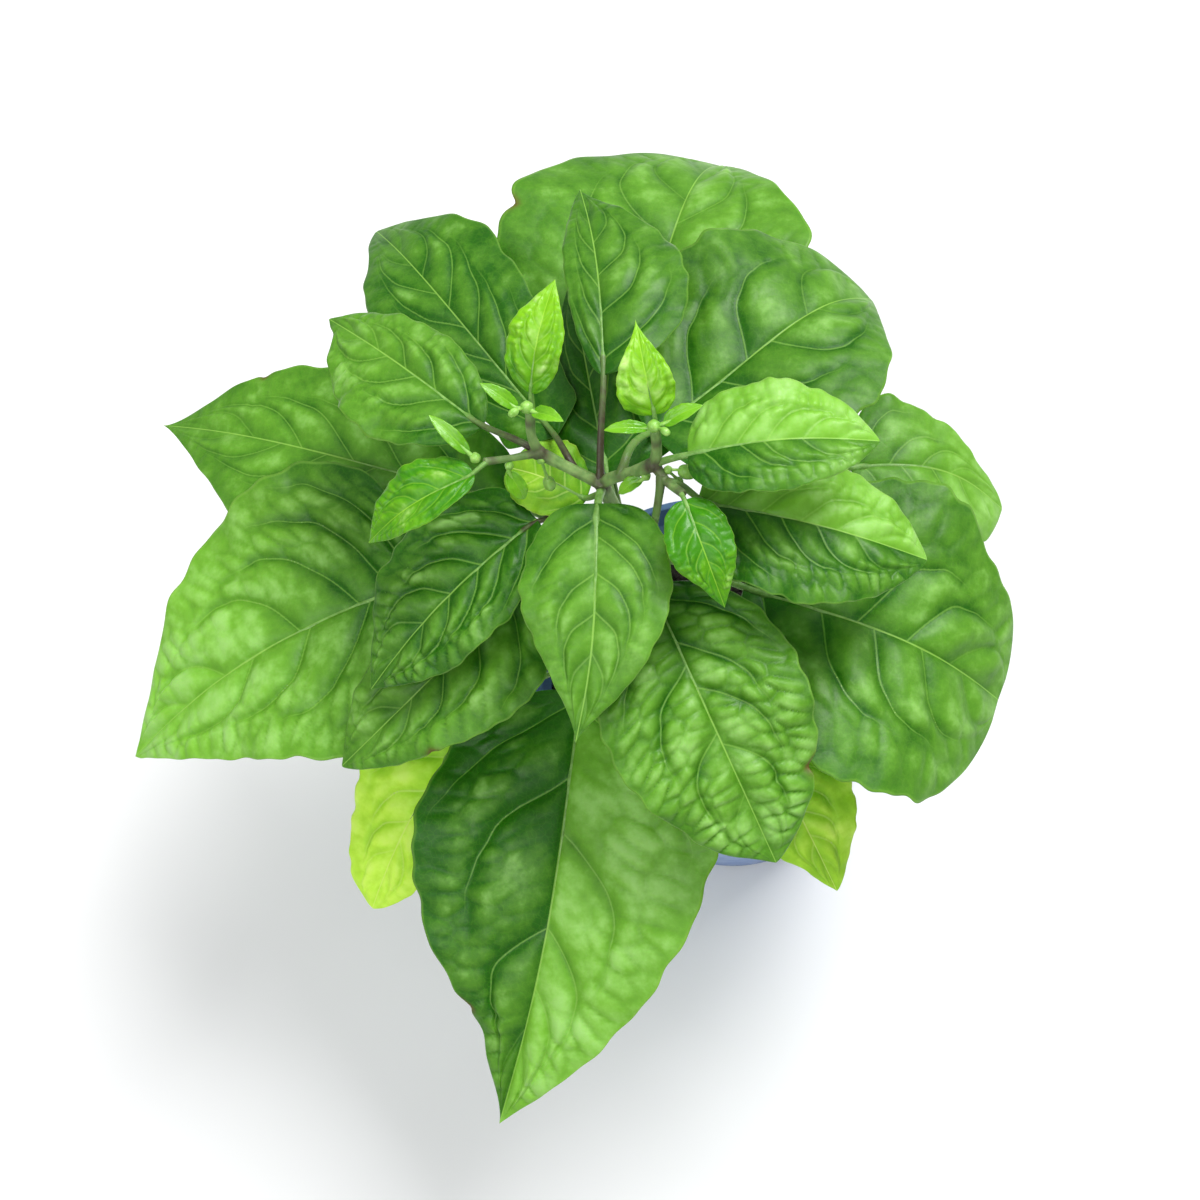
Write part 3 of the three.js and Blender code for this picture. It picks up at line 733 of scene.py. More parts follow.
def dress_tree(bench: Bench, result: bpy.types.Node, geometry: object, material: object, smooth: bool) -> None:
    """Ends a geometry tree: real geometry, in its material.

    Args:
        bench: the tree's bench.
        result: its output node.
        geometry: what it has made.
        material: the material to set.
        smooth: whether it is shaded smooth.
    """
    geometry = bench.node("GeometryNodeRealizeInstances", {"Geometry": geometry}).outputs[0]
    if smooth:
        geometry = bench.node("GeometryNodeSetShadeSmooth", {"Geometry": geometry}).outputs[0]
    dressed = bench.node("GeometryNodeSetMaterial", {"Geometry": geometry, "Material": material})
    bench.feed(result.inputs["Geometry"], dressed.outputs[0])


def stalk_tree() -> bpy.types.NodeTree:
    """Builds the tree that turns lines, with a thickness at each point, into ribbed round stalks."""
    tree, bench, given, result = new_group(
        "Ribbed stalk", "GeometryNodeTree",
        {"Geometry": (GEOMETRY, None), "Sides": (WHOLE_NUMBER, 16), "Ribs": (FLOAT, 4.0),
         "Rib Depth": (FLOAT, 0.06), "Material": (MATERIAL, None)},
        {"Geometry": GEOMETRY})
    thickness = bench.node("GeometryNodeInputNamedAttribute", {"Name": "thickness"}, data_type="FLOAT")
    line = bench.node("GeometryNodeMeshToCurve", {"Mesh": given["Geometry"]})
    line = bench.node("GeometryNodeSetCurveRadius", {"Curve": line.outputs[0], "Radius": thickness.outputs[0]})
    ring = bench.node("GeometryNodeCurvePrimitiveCircle", {"Resolution": given["Sides"], "Radius": 1.0})
    spot = bench.node("GeometryNodeInputPosition").outputs[0]
    ribbed = bench.math("COSINE", bench.times(bench.angle(spot), given["Ribs"]))
    offset = bench.node("ShaderNodeVectorMath", {0: spot, "Scale": bench.times(ribbed, given["Rib Depth"])},
                        operation="SCALE").outputs[0]
    ring = bench.node("GeometryNodeSetPosition", {"Geometry": ring.outputs[0], "Offset": offset})
    tube = bench.node("GeometryNodeCurveToMesh", {"Curve": line.outputs[0], "Profile Curve": ring.outputs[0],
                                                  "Fill Caps": True})
    if "Scale" in tube.inputs:  # without it the node takes the radius by itself
        bench.feed(tube.inputs["Scale"], bench.node("GeometryNodeInputRadius").outputs[0])
    dress_tree(bench, result, tube.outputs[0], given["Material"], smooth=True)
    return tree


def turned_tree() -> bpy.types.NodeTree:
    """Builds the tree that sweeps a section round the Z axis, and cuts drain holes and grooves."""
    weld, drill_sides = 1e-6, 32
    tree, bench, given, result = new_group(
        "Turned pot", "GeometryNodeTree",
        {"Geometry": (GEOMETRY, None), "Segments": (WHOLE_NUMBER, 160), "Holes": (WHOLE_NUMBER, 6),
         "Hole Radius": (FLOAT, 0.005), "Hole Circle": (FLOAT, 0.04), "Hole Depth": (FLOAT, 0.02),
         "Groove Width": (FLOAT, 0.009), "Groove Depth": (FLOAT, 0.0012), "Groove Length": (FLOAT, 0.05),
         "Material": (MATERIAL, None)},
        {"Geometry": GEOMETRY})
    profile = bench.node("GeometryNodeMeshToCurve", {"Mesh": given["Geometry"]})
    circle = bench.node("GeometryNodeCurvePrimitiveCircle", {"Resolution": given["Segments"],
                                                             "Radius": TURNING_RADIUS * MM})
    upright = bench.node("GeometryNodeSetCurveNormal", {"Curve": circle.outputs[0]}, mode="Z_UP")
    body = bench.node("GeometryNodeCurveToMesh", {"Curve": upright.outputs[0],
                                                  "Profile Curve": profile.outputs[0]})
    body = bench.node("GeometryNodeMergeByDistance", {"Geometry": body.outputs[0], "Distance": weld})
    spots = bench.node("GeometryNodeCurvePrimitiveCircle",
                       {"Resolution": given["Holes"], "Radius": given["Hole Circle"]})
    half_step = bench.join(z=bench.math("DIVIDE", math.pi, given["Holes"]))
    spots = bench.node("GeometryNodeTransform", {"Geometry": spots.outputs[0], "Rotation": half_step})
    points = bench.node("GeometryNodeCurveToPoints", {"Curve": spots.outputs[0]}, mode="EVALUATED")
    drill = bench.node("GeometryNodeMeshCylinder", {"Vertices": drill_sides, "Radius": given["Hole Radius"],
                                                    "Depth": given["Hole Depth"]})
    bar_size = bench.join(given["Groove Length"], given["Groove Width"], bench.times(given["Groove Depth"], 2.0))
    bar = bench.node("GeometryNodeMeshCube", {"Size": bar_size})
    outward = bench.join(bench.times(given["Groove Length"], 0.5))
    bar = bench.node("GeometryNodeTransform", {"Geometry": bar.outputs[0], "Translation": outward})
    turn = bench.join(z=bench.angle(bench.node("GeometryNodeInputPosition").outputs[0]))
    for tool in (drill, bar):
        placed = bench.node("GeometryNodeInstanceOnPoints", {
            "Points": points.outputs[0], "Instance": tool.outputs[0], "Rotation": turn})
        cutter = bench.node("GeometryNodeRealizeInstances", {"Geometry": placed.outputs[0]})
        cut = bench.node("GeometryNodeMeshBoolean", {0: body.outputs[0]}, operation="DIFFERENCE", solver="EXACT")
        bench.feed(cut.inputs[1], cutter.outputs[0])
        body = cut
    dress_tree(bench, result, body.outputs[0], given["Material"], smooth=False)
    return tree


def crumb_tree() -> bpy.types.NodeTree:
    """Builds the tree that strews crumbs of soil over the faces marked as the surface."""
    lumps_per_crumb, fineness = 1.4, 2
    tree, bench, given, result = new_group(
        "Soil crumbs", "GeometryNodeTree",
        {"Geometry": (GEOMETRY, None), "Density": (FLOAT, 137000.0), "Smallest": (FLOAT, 0.0005),
         "Largest": (FLOAT, 0.0022), "Seed": (WHOLE_NUMBER, 7), "Material": (MATERIAL, None)},
        {"Geometry": GEOMETRY})
    marked = bench.node("GeometryNodeInputNamedAttribute", {"Name": "surface"}, data_type="FLOAT").outputs[0]
    chosen = bench.node("FunctionNodeCompare", {0: marked, 1: 0.5}, data_type="FLOAT",
                        operation="GREATER_THAN").outputs[0]
    spots = bench.node("GeometryNodeDistributePointsOnFaces", {
        "Mesh": given["Geometry"], "Selection": chosen, "Density": given["Density"], "Seed": given["Seed"]})
    crumb = bench.node("GeometryNodeMeshIcoSphere", {"Radius": 1.0, "Subdivisions": fineness})
    lumps = bench.noise(bench.node("GeometryNodeInputPosition").outputs[0], lumps_per_crumb, 1.0).outputs[1]
    centred = bench.node("ShaderNodeVectorMath", {0: lumps, 1: (0.5, 0.5, 0.5)}, operation="SUBTRACT").outputs[0]
    shaped = bench.node("GeometryNodeSetPosition", {"Geometry": crumb.outputs[0], "Offset": centred})
    size = chance(bench, "FLOAT", "VALUE", given["Smallest"], given["Largest"], given["Seed"])
    angles = chance(bench, "FLOAT_VECTOR", "VECTOR", (0.0,) * 3, (2 * math.pi,) * 3, given["Seed"])
    placed = bench.node("GeometryNodeInstanceOnPoints", {
        "Points": spots.outputs[0], "Instance": shaped.outputs[0], "Rotation": angles, "Scale": size})
    both = bench.node("GeometryNodeJoinGeometry")
    bench.feed(both.inputs[0], placed.outputs[0])
    bench.feed(both.inputs[0], given["Geometry"])
    dress_tree(bench, result, both.outputs[0], given["Material"], smooth=True)
    return tree


def chance(bench: Bench, data_type: str, kind: str, low: object, high: object,
           seed: object) -> bpy.types.NodeSocket:
    """Adds a Random Value node, whose sockets for the other data types share these names.

    Args:
        bench: the tree's bench.
        data_type: what the node gives.
        kind: the type of its sockets.
        low: the least value.
        high: the greatest value.
        seed: the seed.

    Returns:
        The random value.
    """
    node = bench.node("FunctionNodeRandomValue", {"Seed": seed}, data_type=data_type)
    for name, value in (("Min", low), ("Max", high)):
        bench.feed(next(s for s in node.inputs if s.name == name and s.type == kind), value)
    return next(s for s in node.outputs if s.type == kind and s.enabled)


def baked(host: bpy.types.Object, name: str) -> bpy.types.Object:
    """Keeps what a host's modifiers make as a plain mesh piece, and removes the host.

    Args:
        host: the object with the modifiers.
        name: the new piece's name.

    Returns:
        The plain piece.
    """
    graph = bpy.context.evaluated_depsgraph_get()
    mesh = bpy.data.meshes.new_from_object(host.evaluated_get(graph), preserve_all_data_layers=True,
                                           depsgraph=graph)
    mesh.name = name
    bpy.data.objects.remove(host)
    return add_object(name, mesh)


def grown(host: bpy.types.Object, name: str, tree: bpy.types.NodeTree,
          values: dict[str, object]) -> bpy.types.Object:
    """Runs a geometry tree on a host and keeps the result as a plain piece.

    Args:
        host: the object to start from, which is used up.
        name: the new piece's name.
        tree: the geometry tree.
        values: the tree's inputs, by name.

    Returns:
        The plain piece.
    """
    modifier = host.modifiers.new(tree.name, "NODES")
    modifier.node_group = tree
    for item in tree.interface.items_tree:
        if item.item_type == "SOCKET" and item.in_out == "INPUT" and item.name in values:
            modifier[item.identifier] = values[item.name]
    return baked(host, name)


def line_host(lines: Sequence[tuple[np.ndarray, dict[str, np.ndarray]]]) -> bpy.types.Object:
    """Makes an object of lines for a geometry tree to work on.

    Args:
        lines: for each line its points, in millimetres, and its values by name.

    Returns:
        The host object.
    """
    points = np.vstack([line for line, _ in lines])
    edges, first = [], 0
    for line, _ in lines:
        edges += [(first + i, first + i + 1) for i in range(len(line) - 1)]
        first += len(line)
    mesh = bpy.data.meshes.new("host")
    mesh.from_pydata((points * MM).tolist(), edges, [])
    for label in lines[0][1]:
        store(mesh, label, "POINT", np.concatenate([values[label] for _, values in lines]))
    return add_object("host", mesh)


# ---- leaves


@dataclass(frozen=True)
class Mark:
    """A notch in a margin, or a bulge where its depth is below 0."""

    side: int
    at: float
    depth: float
    spread: float
    scorch: float = 0.0


@dataclass(frozen=True)
class Leaf:
    """One leaf: where it grows, its outline, how it bends, its veins and its tone.

    The foot is on the stem's axis. Pairs are for the left and the right half, seen from above with
    the tip pointing away. Places along the blade run from 0 at its base to 1 at its tip.
    """

    name: str
    foot: Point
    base: Point
    tip: Point
    halves: tuple[float, float]
    widest: Sides = 0.42
    shoulder: Sides = 0.5
    taper: Sides = 1.0
    ease: Sides = 2.0
    arch: float = 6.0
    crest: float = 0.5
    bow: float = 0.0
    bend: float = 0.5
    fold: float = 8.0
    droop: float = 3.0
    wave: float = 1.2
    waves: float = 2.5
    petiole: float = 1.1
    rising: float = 0.25
    age: Age = Age.MATURE
    veins: tuple[tuple[float, ...], tuple[float, ...]] = ((0.03, 0.2, 0.38, 0.56, 0.74), (0.06, 0.26, 0.44, 0.62, 0.8))
    swell: float = 1.0
    quilt: float = 0.4
    ladder: float = 6.5
    crease: float = 0.5
    calm: float = 0.3
    tone: float = 0.3
    # painted light: how much lighter or darker the right half is, as the light falls on it
    right_half_painted_light: float = 0.0
    tone_tip: float = 0.0
    browning: tuple[float, float] = (0.5, 0.1)
    marks: tuple[Mark, ...] = ()
    thickness: float = 0.4
    cell: float = 0.9

    @property
    def seed(self) -> float:
        """A number of the leaf's own, which sets its small irregularities."""
        return float(sum(ord(letter) * (place + 1) for place, letter in enumerate(self.name)) % 97)


class Blade:
    """The fine mesh of one leaf. Lengths are millimetres; places and spans are shares of the blade."""

    RIB_WIDTH = (0.95, 0.35)  # of the midrib at the base and at the tip, on a middling petiole
    MIDDLING_PETIOLE = 1.3
    RIB_CREST = 0.4
    RIB_TROUGH = (0.45, 2.2)  # the dip beside the midrib: depth, and reach in half widths
    RIPPLES = ((0.012, 41, 1), (0.009, 73, 2))  # of the outline: share, pace, phase
    MARK_CLEARANCE = 4
    SLANT = (0.15, 0.1, 0.15)  # of a side vein: the lowest one's, what later ones add, over a span
    TURN = (0.85, -0.3, 0.2)  # where it turns: the lowest one's, what later ones add, over a span
    CURL = (0.1, 6)  # towards the tip past the turn, and its power
    WOBBLE = (0.006, 9, 31)
    FADING = (0.93, 1.14)  # across its turn
    HIGH_VEINS = (0.7, 0.45, 0.85)  # near the tip: how much of them fades, over a span
    TIP_FADING = (0.74, 0.94)
    FIELD_END = (0.7, 1.1)  # where the swollen fields end, across the turn
    FIELD_HEIGHT = 1.3
    CREASE = (1.2, 2.2)  # along a side vein: depth and reach
    PILLOW = (1.7, 0.7)  # a cell's height, and the share that a crease takes
    PILLOW_CALM = (0.15, 0.6)
    CELL_STRETCH = 2.0
    CELL_TILT = 0.35
    CELL_SWAY = (0.3, 1.3)
    CELL_SLOPES = ((0.55, 0.5), (0.45, 1.4))  # a cell's steep rim and its broad dome: weight and reach
    CELL_SCATTER = 0.6
    CELL_HEIGHTS = (0.45, 0.65)
    CLEAR_OF_RIB = 2.5
    CLEAR_OF_MARGIN = 7
    CLEAR_OF_ENDS = (0.05, 0.1)
    # Painted light on tops and painted shade in creases: the shares of fields and creases, and the least.
    PAINTED_TOP_SHARES = (0.5, 0.6, -0.5)  # of fields and creases in what counts as a top, and the least
    FINE_WAVE = (0.35, 2.7, 4)  # of the margin: height and pace against the leaf's waves, and power
    THIN_RIM = (0.55, 0.9)  # how much thinner the margin is, and from where
    SCORCH_LENGTH = 1.6
    # Painted shade: the second value darkens each blade towards its base, where the leaves above shade it.
    TONE_AND_BASE_SHADE = (0.08, 0.3, 0.05, 5)  # lighter, darker at the base, and uneven: height and pace
    FEWEST_ROWS, FEWEST_COLUMNS = 14, 7
    ROW_CROWDING, COLUMN_CROWDING = 0.35, 1.25
    STALK_END = (0.07, 0.48)  # along the blade, and below the midrib
    STALK_UNDER = (0.1, 0.96)  # its run under the blade
    STALK_STEPS = (26, 30)  # of the free stalk, and of its run under the blade
    STALK_PULLS = (0.3, 0.35)  # how far it keeps its way at the foot and at the blade
    STALK_TAPER = (1.12, 0.32)
    STALK_SWELLINGS = ((0.35, 0.07), (0.12, 0.08))  # at the foot and at the blade: height, reach
    STALK_RIB = (0.8, 0.68, 0.7, 0.45)  # under the blade: width, what the tip loses, power, depth

    def __init__(self, leaf: Leaf) -> None:
        """Works out the blade's axes from the leaf's places.

        Args:
            leaf: the leaf.
        """
        self.leaf = leaf
        self.base = np.array(leaf.base, float)
        self.chord = np.array(leaf.tip, float) - self.base
        self.length = float(np.linalg.norm(self.chord))
        forward = self.chord / self.length
        up = np.array([0.0, 0.0, 1.0])
        self.up = unit(up - up.dot(forward) * forward)
        self.side = np.cross(forward, self.up)

    @staticmethod
    def hump(t: np.ndarray, peak: float) -> np.ndarray:
        """A sine hump from 0 to 1 and back, with its top at peak."""
        return np.sin(np.pi * np.clip(t, 0, 1) ** (math.log(0.5) / math.log(peak)))

    def midrib(self, u: np.ndarray) -> np.ndarray:
        """Points of the midrib at each place u along the blade, an arch with a bow to one side."""
        leaf, u = self.leaf, u[:, None]
        return (self.base + self.chord * u + self.up * leaf.arch * self.hump(u, leaf.crest)
                + self.side * leaf.bow * self.hump(u, leaf.bend))

    def axes(self, u: np.ndarray) -> tuple[np.ndarray, np.ndarray, np.ndarray]:
        """Works out the blade's own directions.

        Args:
            u: places along the blade.

        Returns:
            The directions along, across and off the blade at each place.
        """
        step = 1e-3
        along = unit(self.midrib(np.minimum(u + step, 1)) - self.midrib(np.maximum(u - step, 0)))
        across = unit(np.cross(along, self.up))
        return along, across, np.cross(across, along)

    def half_width(self, u: np.ndarray, side: int) -> np.ndarray:
        """Works out a half's width from the leaf's outline, its marks and a small unevenness.

        Args:
            u: places along the blade.
            side: 0 for the left half, 1 for the right.

        Returns:
            The width at each place, in millimetres.
        """
        leaf = self.leaf
        widest, shoulder, taper, ease = (half(value, side) for value in
                                         (leaf.widest, leaf.shoulder, leaf.taper, leaf.ease))
        s = np.clip(u / widest, 0, 1)
        t = np.clip((u - widest) / (1 - widest), 0, 1)
        share = np.where(u < widest, (s * (2 - s)) ** shoulder, (1 - t ** ease) ** taper)
        width = leaf.halves[side] * share
        hold = np.minimum(1, share * self.MARK_CLEARANCE)
        for mark in leaf.marks:
            if mark.side == side:
                width = width - mark.depth * np.exp(-((u - mark.at) / mark.spread) ** 2) * hold
        ripple = sum(height * np.sin(u * pace + phase * leaf.seed) for height, pace, phase in self.RIPPLES)
        return np.maximum(width * (1 + ripple), 0)

    def vein_phase(self, u: np.ndarray, w: np.ndarray, side: int,
                   width: np.ndarray) -> tuple[np.ndarray, ...]:
        """Counts the side veins along the blade: whole numbers lie on a vein.

        A side vein leaves the midrib at a slant, then turns and runs on along the margin, where it
        fades. The lowest ones turn last.

        Args:
            u: places along the blade.
            w: places across one half, from 0 at the midrib to 1 at the margin.
            side: 0 for the left half, 1 for the right.
            width: the half's width at each u, in millimetres.

        Returns:
            For each u and w, the count, how many millimetres lie between two veins there, how
            strong the nearest vein is, from 0 to 1, and how near that place is to where the veins
            turn along the margin, from 1 well inside to 0 past the turn.
        """
        starts = np.array(self.leaf.veins[side])[:, None]
        across = w[None, :]
        slant, turn = (first + change * np.clip(starts / span, 0, 1)
                       for first, change, span in (self.SLANT, self.TURN))
        sway, pace, phase_step = self.WOBBLE
        wobble = sway * np.sin(across * pace + starts * phase_step + self.leaf.seed) * np.minimum(across * 3, 1)
        curl, power = self.CURL
        paths = starts + slant * across + curl * (across / turn) ** power + wobble
        lean = (slant + curl * power / turn * (across / turn) ** (power - 1)) * self.length
        high_loss, *high_span = self.HIGH_VEINS
        fading = (1 - smooth_between(*self.FADING, across / turn)) * (
            1 - high_loss * smooth_between(*high_span, starts))
        near_tip = 1 - smooth_between(*self.TIP_FADING, u)
        phase, strip, strength, inside = np.empty((4, len(u), len(w)))
        for column in range(len(w)):
            veins = paths[:, column]
            gaps = np.diff(veins)
            index = np.clip(np.searchsorted(veins, u) - 1, 0, len(gaps) - 1)
            count = index + (u - veins[index]) / gaps[index]
            nearest = np.clip(np.round(count).astype(int), 0, len(veins) - 1)
            steep = lean[nearest, column] / np.maximum(width, 1.0)
            phase[:, column] = count
            strip[:, column] = gaps[index] * self.length / np.sqrt(1 + steep ** 2)
            strength[:, column] = fading[nearest, column] * near_tip
            turns = turn[index, 0] + np.clip(count - index, 0, 1) * np.diff(turn[:, 0])[index]
            inside[:, column] = 1 - smooth_between(*self.FIELD_END, w[column] / turns)
        return phase, strip, strength, inside

    def cells(self, along: np.ndarray, across: np.ndarray, key: float) -> np.ndarray:
        """Pillows between the finer cross veins: 0 on a cross vein and up to 1 between them.

        Args:
            along: places along the blade, counted in cells.
            across: places across it, counted in cells.
            key: a number that tells one half's cells from the other's.

        Returns:
            The height at each place.
        """
        seed = self.leaf.seed + key
        row, column = np.floor(along), np.floor(across)
        nearest = second = np.full(along.shape, np.inf)
        weight = np.ones(along.shape)
        lowest, more = self.CELL_HEIGHTS
        for i in (row - 2, row - 1, row, row + 1, row + 2):
            for j in (column - 1, column, column + 1):
                stagger = 0.5 * np.mod(j, 2)
                a = i + 0.5 + stagger + self.CELL_SCATTER * (scatter(i, j, seed) - 0.5)
                b = j + 0.5 + self.CELL_SCATTER * (scatter(j, i, seed + 5) - 0.5)
                away = np.hypot(along - a, across - b)
                closer = away < nearest
                second = np.where(closer, nearest, np.minimum(second, away))
                weight = np.where(closer, lowest + more * scatter(i, j, seed + 11), weight)
                nearest = np.where(closer, away, nearest)
        apart = second - nearest
        return weight * sum(share * (1 - (1 - np.clip(apart / reach, 0, 1)) ** 2)
                            for share, reach in self.CELL_SLOPES)

    def relief(self, u: np.ndarray, w: np.ndarray, side: int, width: np.ndarray) -> tuple[np.ndarray, ...]:
        """Works out how far the upper face stands off the plain blade.

        Args:
            u: places along the blade.
            w: places across one half.
            side: 0 for the left half, 1 for the right.
            width: the half's width at each u, in millimetres.

        Returns:
            The height, the painted light of each place, lighter on pillow tops and painted shade in
            creases, the vein count, the strip width and the strength of the veins.
        """
        leaf = self.leaf
        phase, strip, strength, inside = self.vein_phase(u, w, side, width)
        reach = width[:, None] * w[None, :]
        depth, crease_reach = self.CREASE
        crease = strength * np.exp(-np.abs(phase - np.round(phase)) * strip / crease_reach)
        fields = (1 - np.abs(2 * np.mod(phase, 1) - 1) ** 2) * inside
        uneven = 0.5 + scatter(np.floor(phase), leaf.seed + side, 3.0)
        sway, sway_length = self.CELL_SWAY
        rows = (u[:, None] * self.length - self.CELL_TILT * reach) / leaf.ladder
        rows = rows + sway * np.sin(reach / (sway_length * leaf.ladder) + leaf.seed)
        bulge, creased = self.PILLOW
        pillows = self.cells(rows, reach / (self.CELL_STRETCH * leaf.ladder), side * 7.0) * (1 - creased * crease)
        pillows = pillows * (leaf.calm + (1 - leaf.calm) * smooth_between(*self.PILLOW_CALM, w))
        base_span, tip_span = self.CLEAR_OF_ENDS
        ends = np.minimum(1, np.minimum(u / base_span, (1 - u) / tip_span))[:, None]
        full = (1 - np.exp(-reach / self.CLEAR_OF_RIB)) * (1 - w[None, :] ** self.CLEAR_OF_MARGIN) * ends
        height = full * (self.FIELD_HEIGHT * leaf.swell * fields * uneven - depth * leaf.crease * crease
                         + bulge * leaf.quilt * pillows)
        rib = self.rib_half_width(u)[:, None]
        trough, trough_reach = self.RIB_TROUGH
        height = height - trough * (1 - u[:, None]) * np.exp(-(reach / (trough_reach * rib)) ** 2)
        height = height + self.RIB_CREST * rib * np.exp(-(reach / rib) ** 4)
        # The painted light: fields and pillow tops are lighter, and creases get painted shade.
        field_share, crease_share, lowest = self.PAINTED_TOP_SHARES
        top = np.clip(field_share * fields + leaf.quilt * pillows - crease_share * crease, lowest, 1)
        return height, full * top, phase, strip, strength

    def rib_half_width(self, u: np.ndarray) -> np.ndarray:
        """Half of the midrib's width, in millimetres, at places along the blade."""
        widest, thinnest = (width * self.leaf.petiole / self.MIDDLING_PETIOLE for width in self.RIB_WIDTH)
        return 0.5 * (thinnest + (widest - thinnest) * (1 - u))

    def scorches(self, u: np.ndarray, w: np.ndarray, side: int, width: np.ndarray) -> np.ndarray:
        """Works out how brown the blade is round its scorched marks.

        Args:
            u: places along the blade.
            w: places across one half.
            side: 0 for the left half, 1 for the right.
            width: the half's width at each u, in millimetres.

        Returns:
            The browning at each u and w, from 0 to 1.
        """
        scorch = np.zeros((len(u), len(w)))
        for mark in self.leaf.marks:
            if mark.side == side and mark.scorch > 0:
                near = ((u[:, None] - mark.at) * self.length / (mark.scorch * self.SCORCH_LENGTH)) ** 2
                inward = ((1 - w[None, :]) * width[:, None] / mark.scorch) ** 2
                scorch = np.maximum(scorch, np.exp(-near - inward))
        return scorch

    def face(self, u: np.ndarray, w: np.ndarray, side: int) -> tuple[np.ndarray, np.ndarray, dict[str, np.ndarray]]:
        """Works out one half of the blade.

        Args:
            u: places along the blade.
            w: places across the half, from 0 at the midrib.
            side: 0 for the left half, 1 for the right.

        Returns:
            The points of the upper and of the lower face, and by name the values of each point.
        """
        leaf = self.leaf
        sign = -1.0 if side == 0 else 1.0
        _, across, normal = self.axes(u)
        width = self.half_width(u, side)
        reach = width[:, None] * w[None, :]
        share = (width / (0.5 * sum(leaf.halves)))[:, None]
        rise = math.radians(leaf.fold)
        ripple = leaf.wave * np.sin(2 * np.pi * (leaf.waves * u + 0.25 * sign))[:, None]
        fine_height, fine_pace, fine_power = self.FINE_WAVE
        fine = np.sin(u * 2 * np.pi * leaf.waves * fine_pace + leaf.seed)[:, None] * w ** fine_power
        fine = fine_height * leaf.wave * fine
        lift = reach * math.sin(rise) + (ripple - leaf.droop) * (w ** 2)[None, :] * share + fine * share
        height, relief, phase, strip, strength = self.relief(u, w, side, width)
        plain = (self.midrib(u)[:, None, :] + across[:, None, :] * (sign * reach * math.cos(rise))[..., None]
                 + normal[:, None, :] * lift[..., None])
        upper = plain + normal[:, None, :] * height[..., None]
        thinner, thinner_from = self.THIN_RIM
        rim = 1 - thinner * smooth_between(thinner_from, 1.0, w)[None, :, None]
        lower = upper - normal[:, None, :] * leaf.thickness * rim
        # The tone carries painted shade towards the blade's base, under the leaves above.
        lighter, base_shade, drift, pace = self.TONE_AND_BASE_SHADE
        along = leaf.tone_tip * u + lighter - base_shade * (1 - u) ** 2 + drift * np.sin(u * pace + leaf.seed)
        # The right half is made lighter or darker as the light falls on it: painted light.
        tone = leaf.tone + (leaf.right_half_painted_light if side == 1 else 0.0) + along[:, None]
        values = {"rib": reach / self.rib_half_width(u)[:, None], "vein_phase": phase, "strip_mm": strip,
                  "strength": strength, "margin": w[None, :], "relief": relief,
                  "scorch": self.scorches(u, w, side, width), "tone": tone}
        return upper, lower, {name: np.broadcast_to(value, reach.shape) for name, value in values.items()}

    def draw(self, draft: Draft) -> None:
        """Draws both halves: upper and lower faces, the rim between them, and closed ends.

        Args:
            draft: the draft to add them to.
        """
        leaf = self.leaf
        rows = max(int(self.length / leaf.cell), self.FEWEST_ROWS) + 1
        even = np.linspace(0, 1, rows)
        u = even + self.ROW_CROWDING * (0.5 * (1 - np.cos(np.pi * even)) - even)
        for side in (0, 1):
            columns = max(int(leaf.halves[side] / leaf.cell), self.FEWEST_COLUMNS) + 1
            w = np.linspace(0, 1, columns) ** self.COLUMN_CROWDING
            upper, lower, values = self.face(u, w, side)
            for end in (0, -1):
                upper[end] = lower[end] = (upper[end, 0] + lower[end, 0]) / 2
            left = side == 0
            draft.add(upper, grid_faces(rows, columns, flip=left), under=np.zeros(upper.shape[:2]), **values)
            draft.add(lower, grid_faces(rows, columns, flip=not left), under=np.ones(upper.shape[:2]), **values)
            rim = np.stack([upper[:, -1], lower[:, -1]], axis=1)
            edge = {name: np.repeat(value[:, -1:], 2, axis=1) for name, value in values.items()}
            draft.add(rim, grid_faces(rows, 2, flip=left), under=np.zeros(rim.shape[:2]), **edge)

    def stalk(self) -> tuple[np.ndarray, dict[str, np.ndarray]]:
        """Draws the petiole, and its run along the midrib's underside.

        Returns:
            The path's points, and by name their thickness and how brown they are.
        """
        leaf = self.leaf
        start = np.array(leaf.foot, float)
        along, _, normal = (axis[0] for axis in self.axes(np.array([0.02])))
        place, below = self.STALK_END
        end = self.midrib(np.array([place]))[0] - below * normal
        reach = np.linalg.norm(end - start)
        outward = end - start
        outward[2] = 0
        pull_at_foot, pull_at_blade = self.STALK_PULLS
        leaving = start + unit(outward) * pull_at_foot * reach + np.array([0, 0, leaf.rising * reach])
        arriving = end - along * pull_at_blade * reach
        free_steps, under_steps = self.STALK_STEPS
        t = np.linspace(0, 1, free_steps)
        s = t[:, None]
        free = (1 - s) ** 3 * start + 3 * (1 - s) ** 2 * s * leaving + 3 * (1 - s) * s * s * arriving + s ** 3 * end
        swelling = sum(height * np.exp(-(away / span) ** 2)
                       for away, (height, span) in zip((t, 1 - t), self.STALK_SWELLINGS))
        full, lost = self.STALK_TAPER
        radius = leaf.petiole * (full - lost * t + swelling)
        places = np.linspace(*self.STALK_UNDER, under_steps)
        _, _, off = self.axes(places)
        wide, tip_loss, power, depth = self.STALK_RIB
        rib = leaf.petiole * (wide - tip_loss * smooth_between(0.0, 1.0, places) ** power)
        under = self.midrib(places) - off * (leaf.thickness + depth * rib)[:, None]
        foot, blade_end = leaf.browning
        brown = np.concatenate([foot + (blade_end - foot) * t, np.zeros(under_steps)])
        return np.vstack([free, under]), {"thickness": np.concatenate([radius, rib]) * MM, "browning": brown}


YOUNG = {"age": Age.YOUNG, "wave": 0.8, "droop": 1.5, "petiole": 0.8, "swell": 0.5, "quilt": 0.6,
         "ladder": 2.8, "crease": 0.35, "calm": 0.7, "tone": 0.4, "cell": 0.4, "browning": (0.1, 0.0)}
PALE = {"age": Age.PALE, "swell": 1.2, "quilt": 0.5, "crease": 0.9}

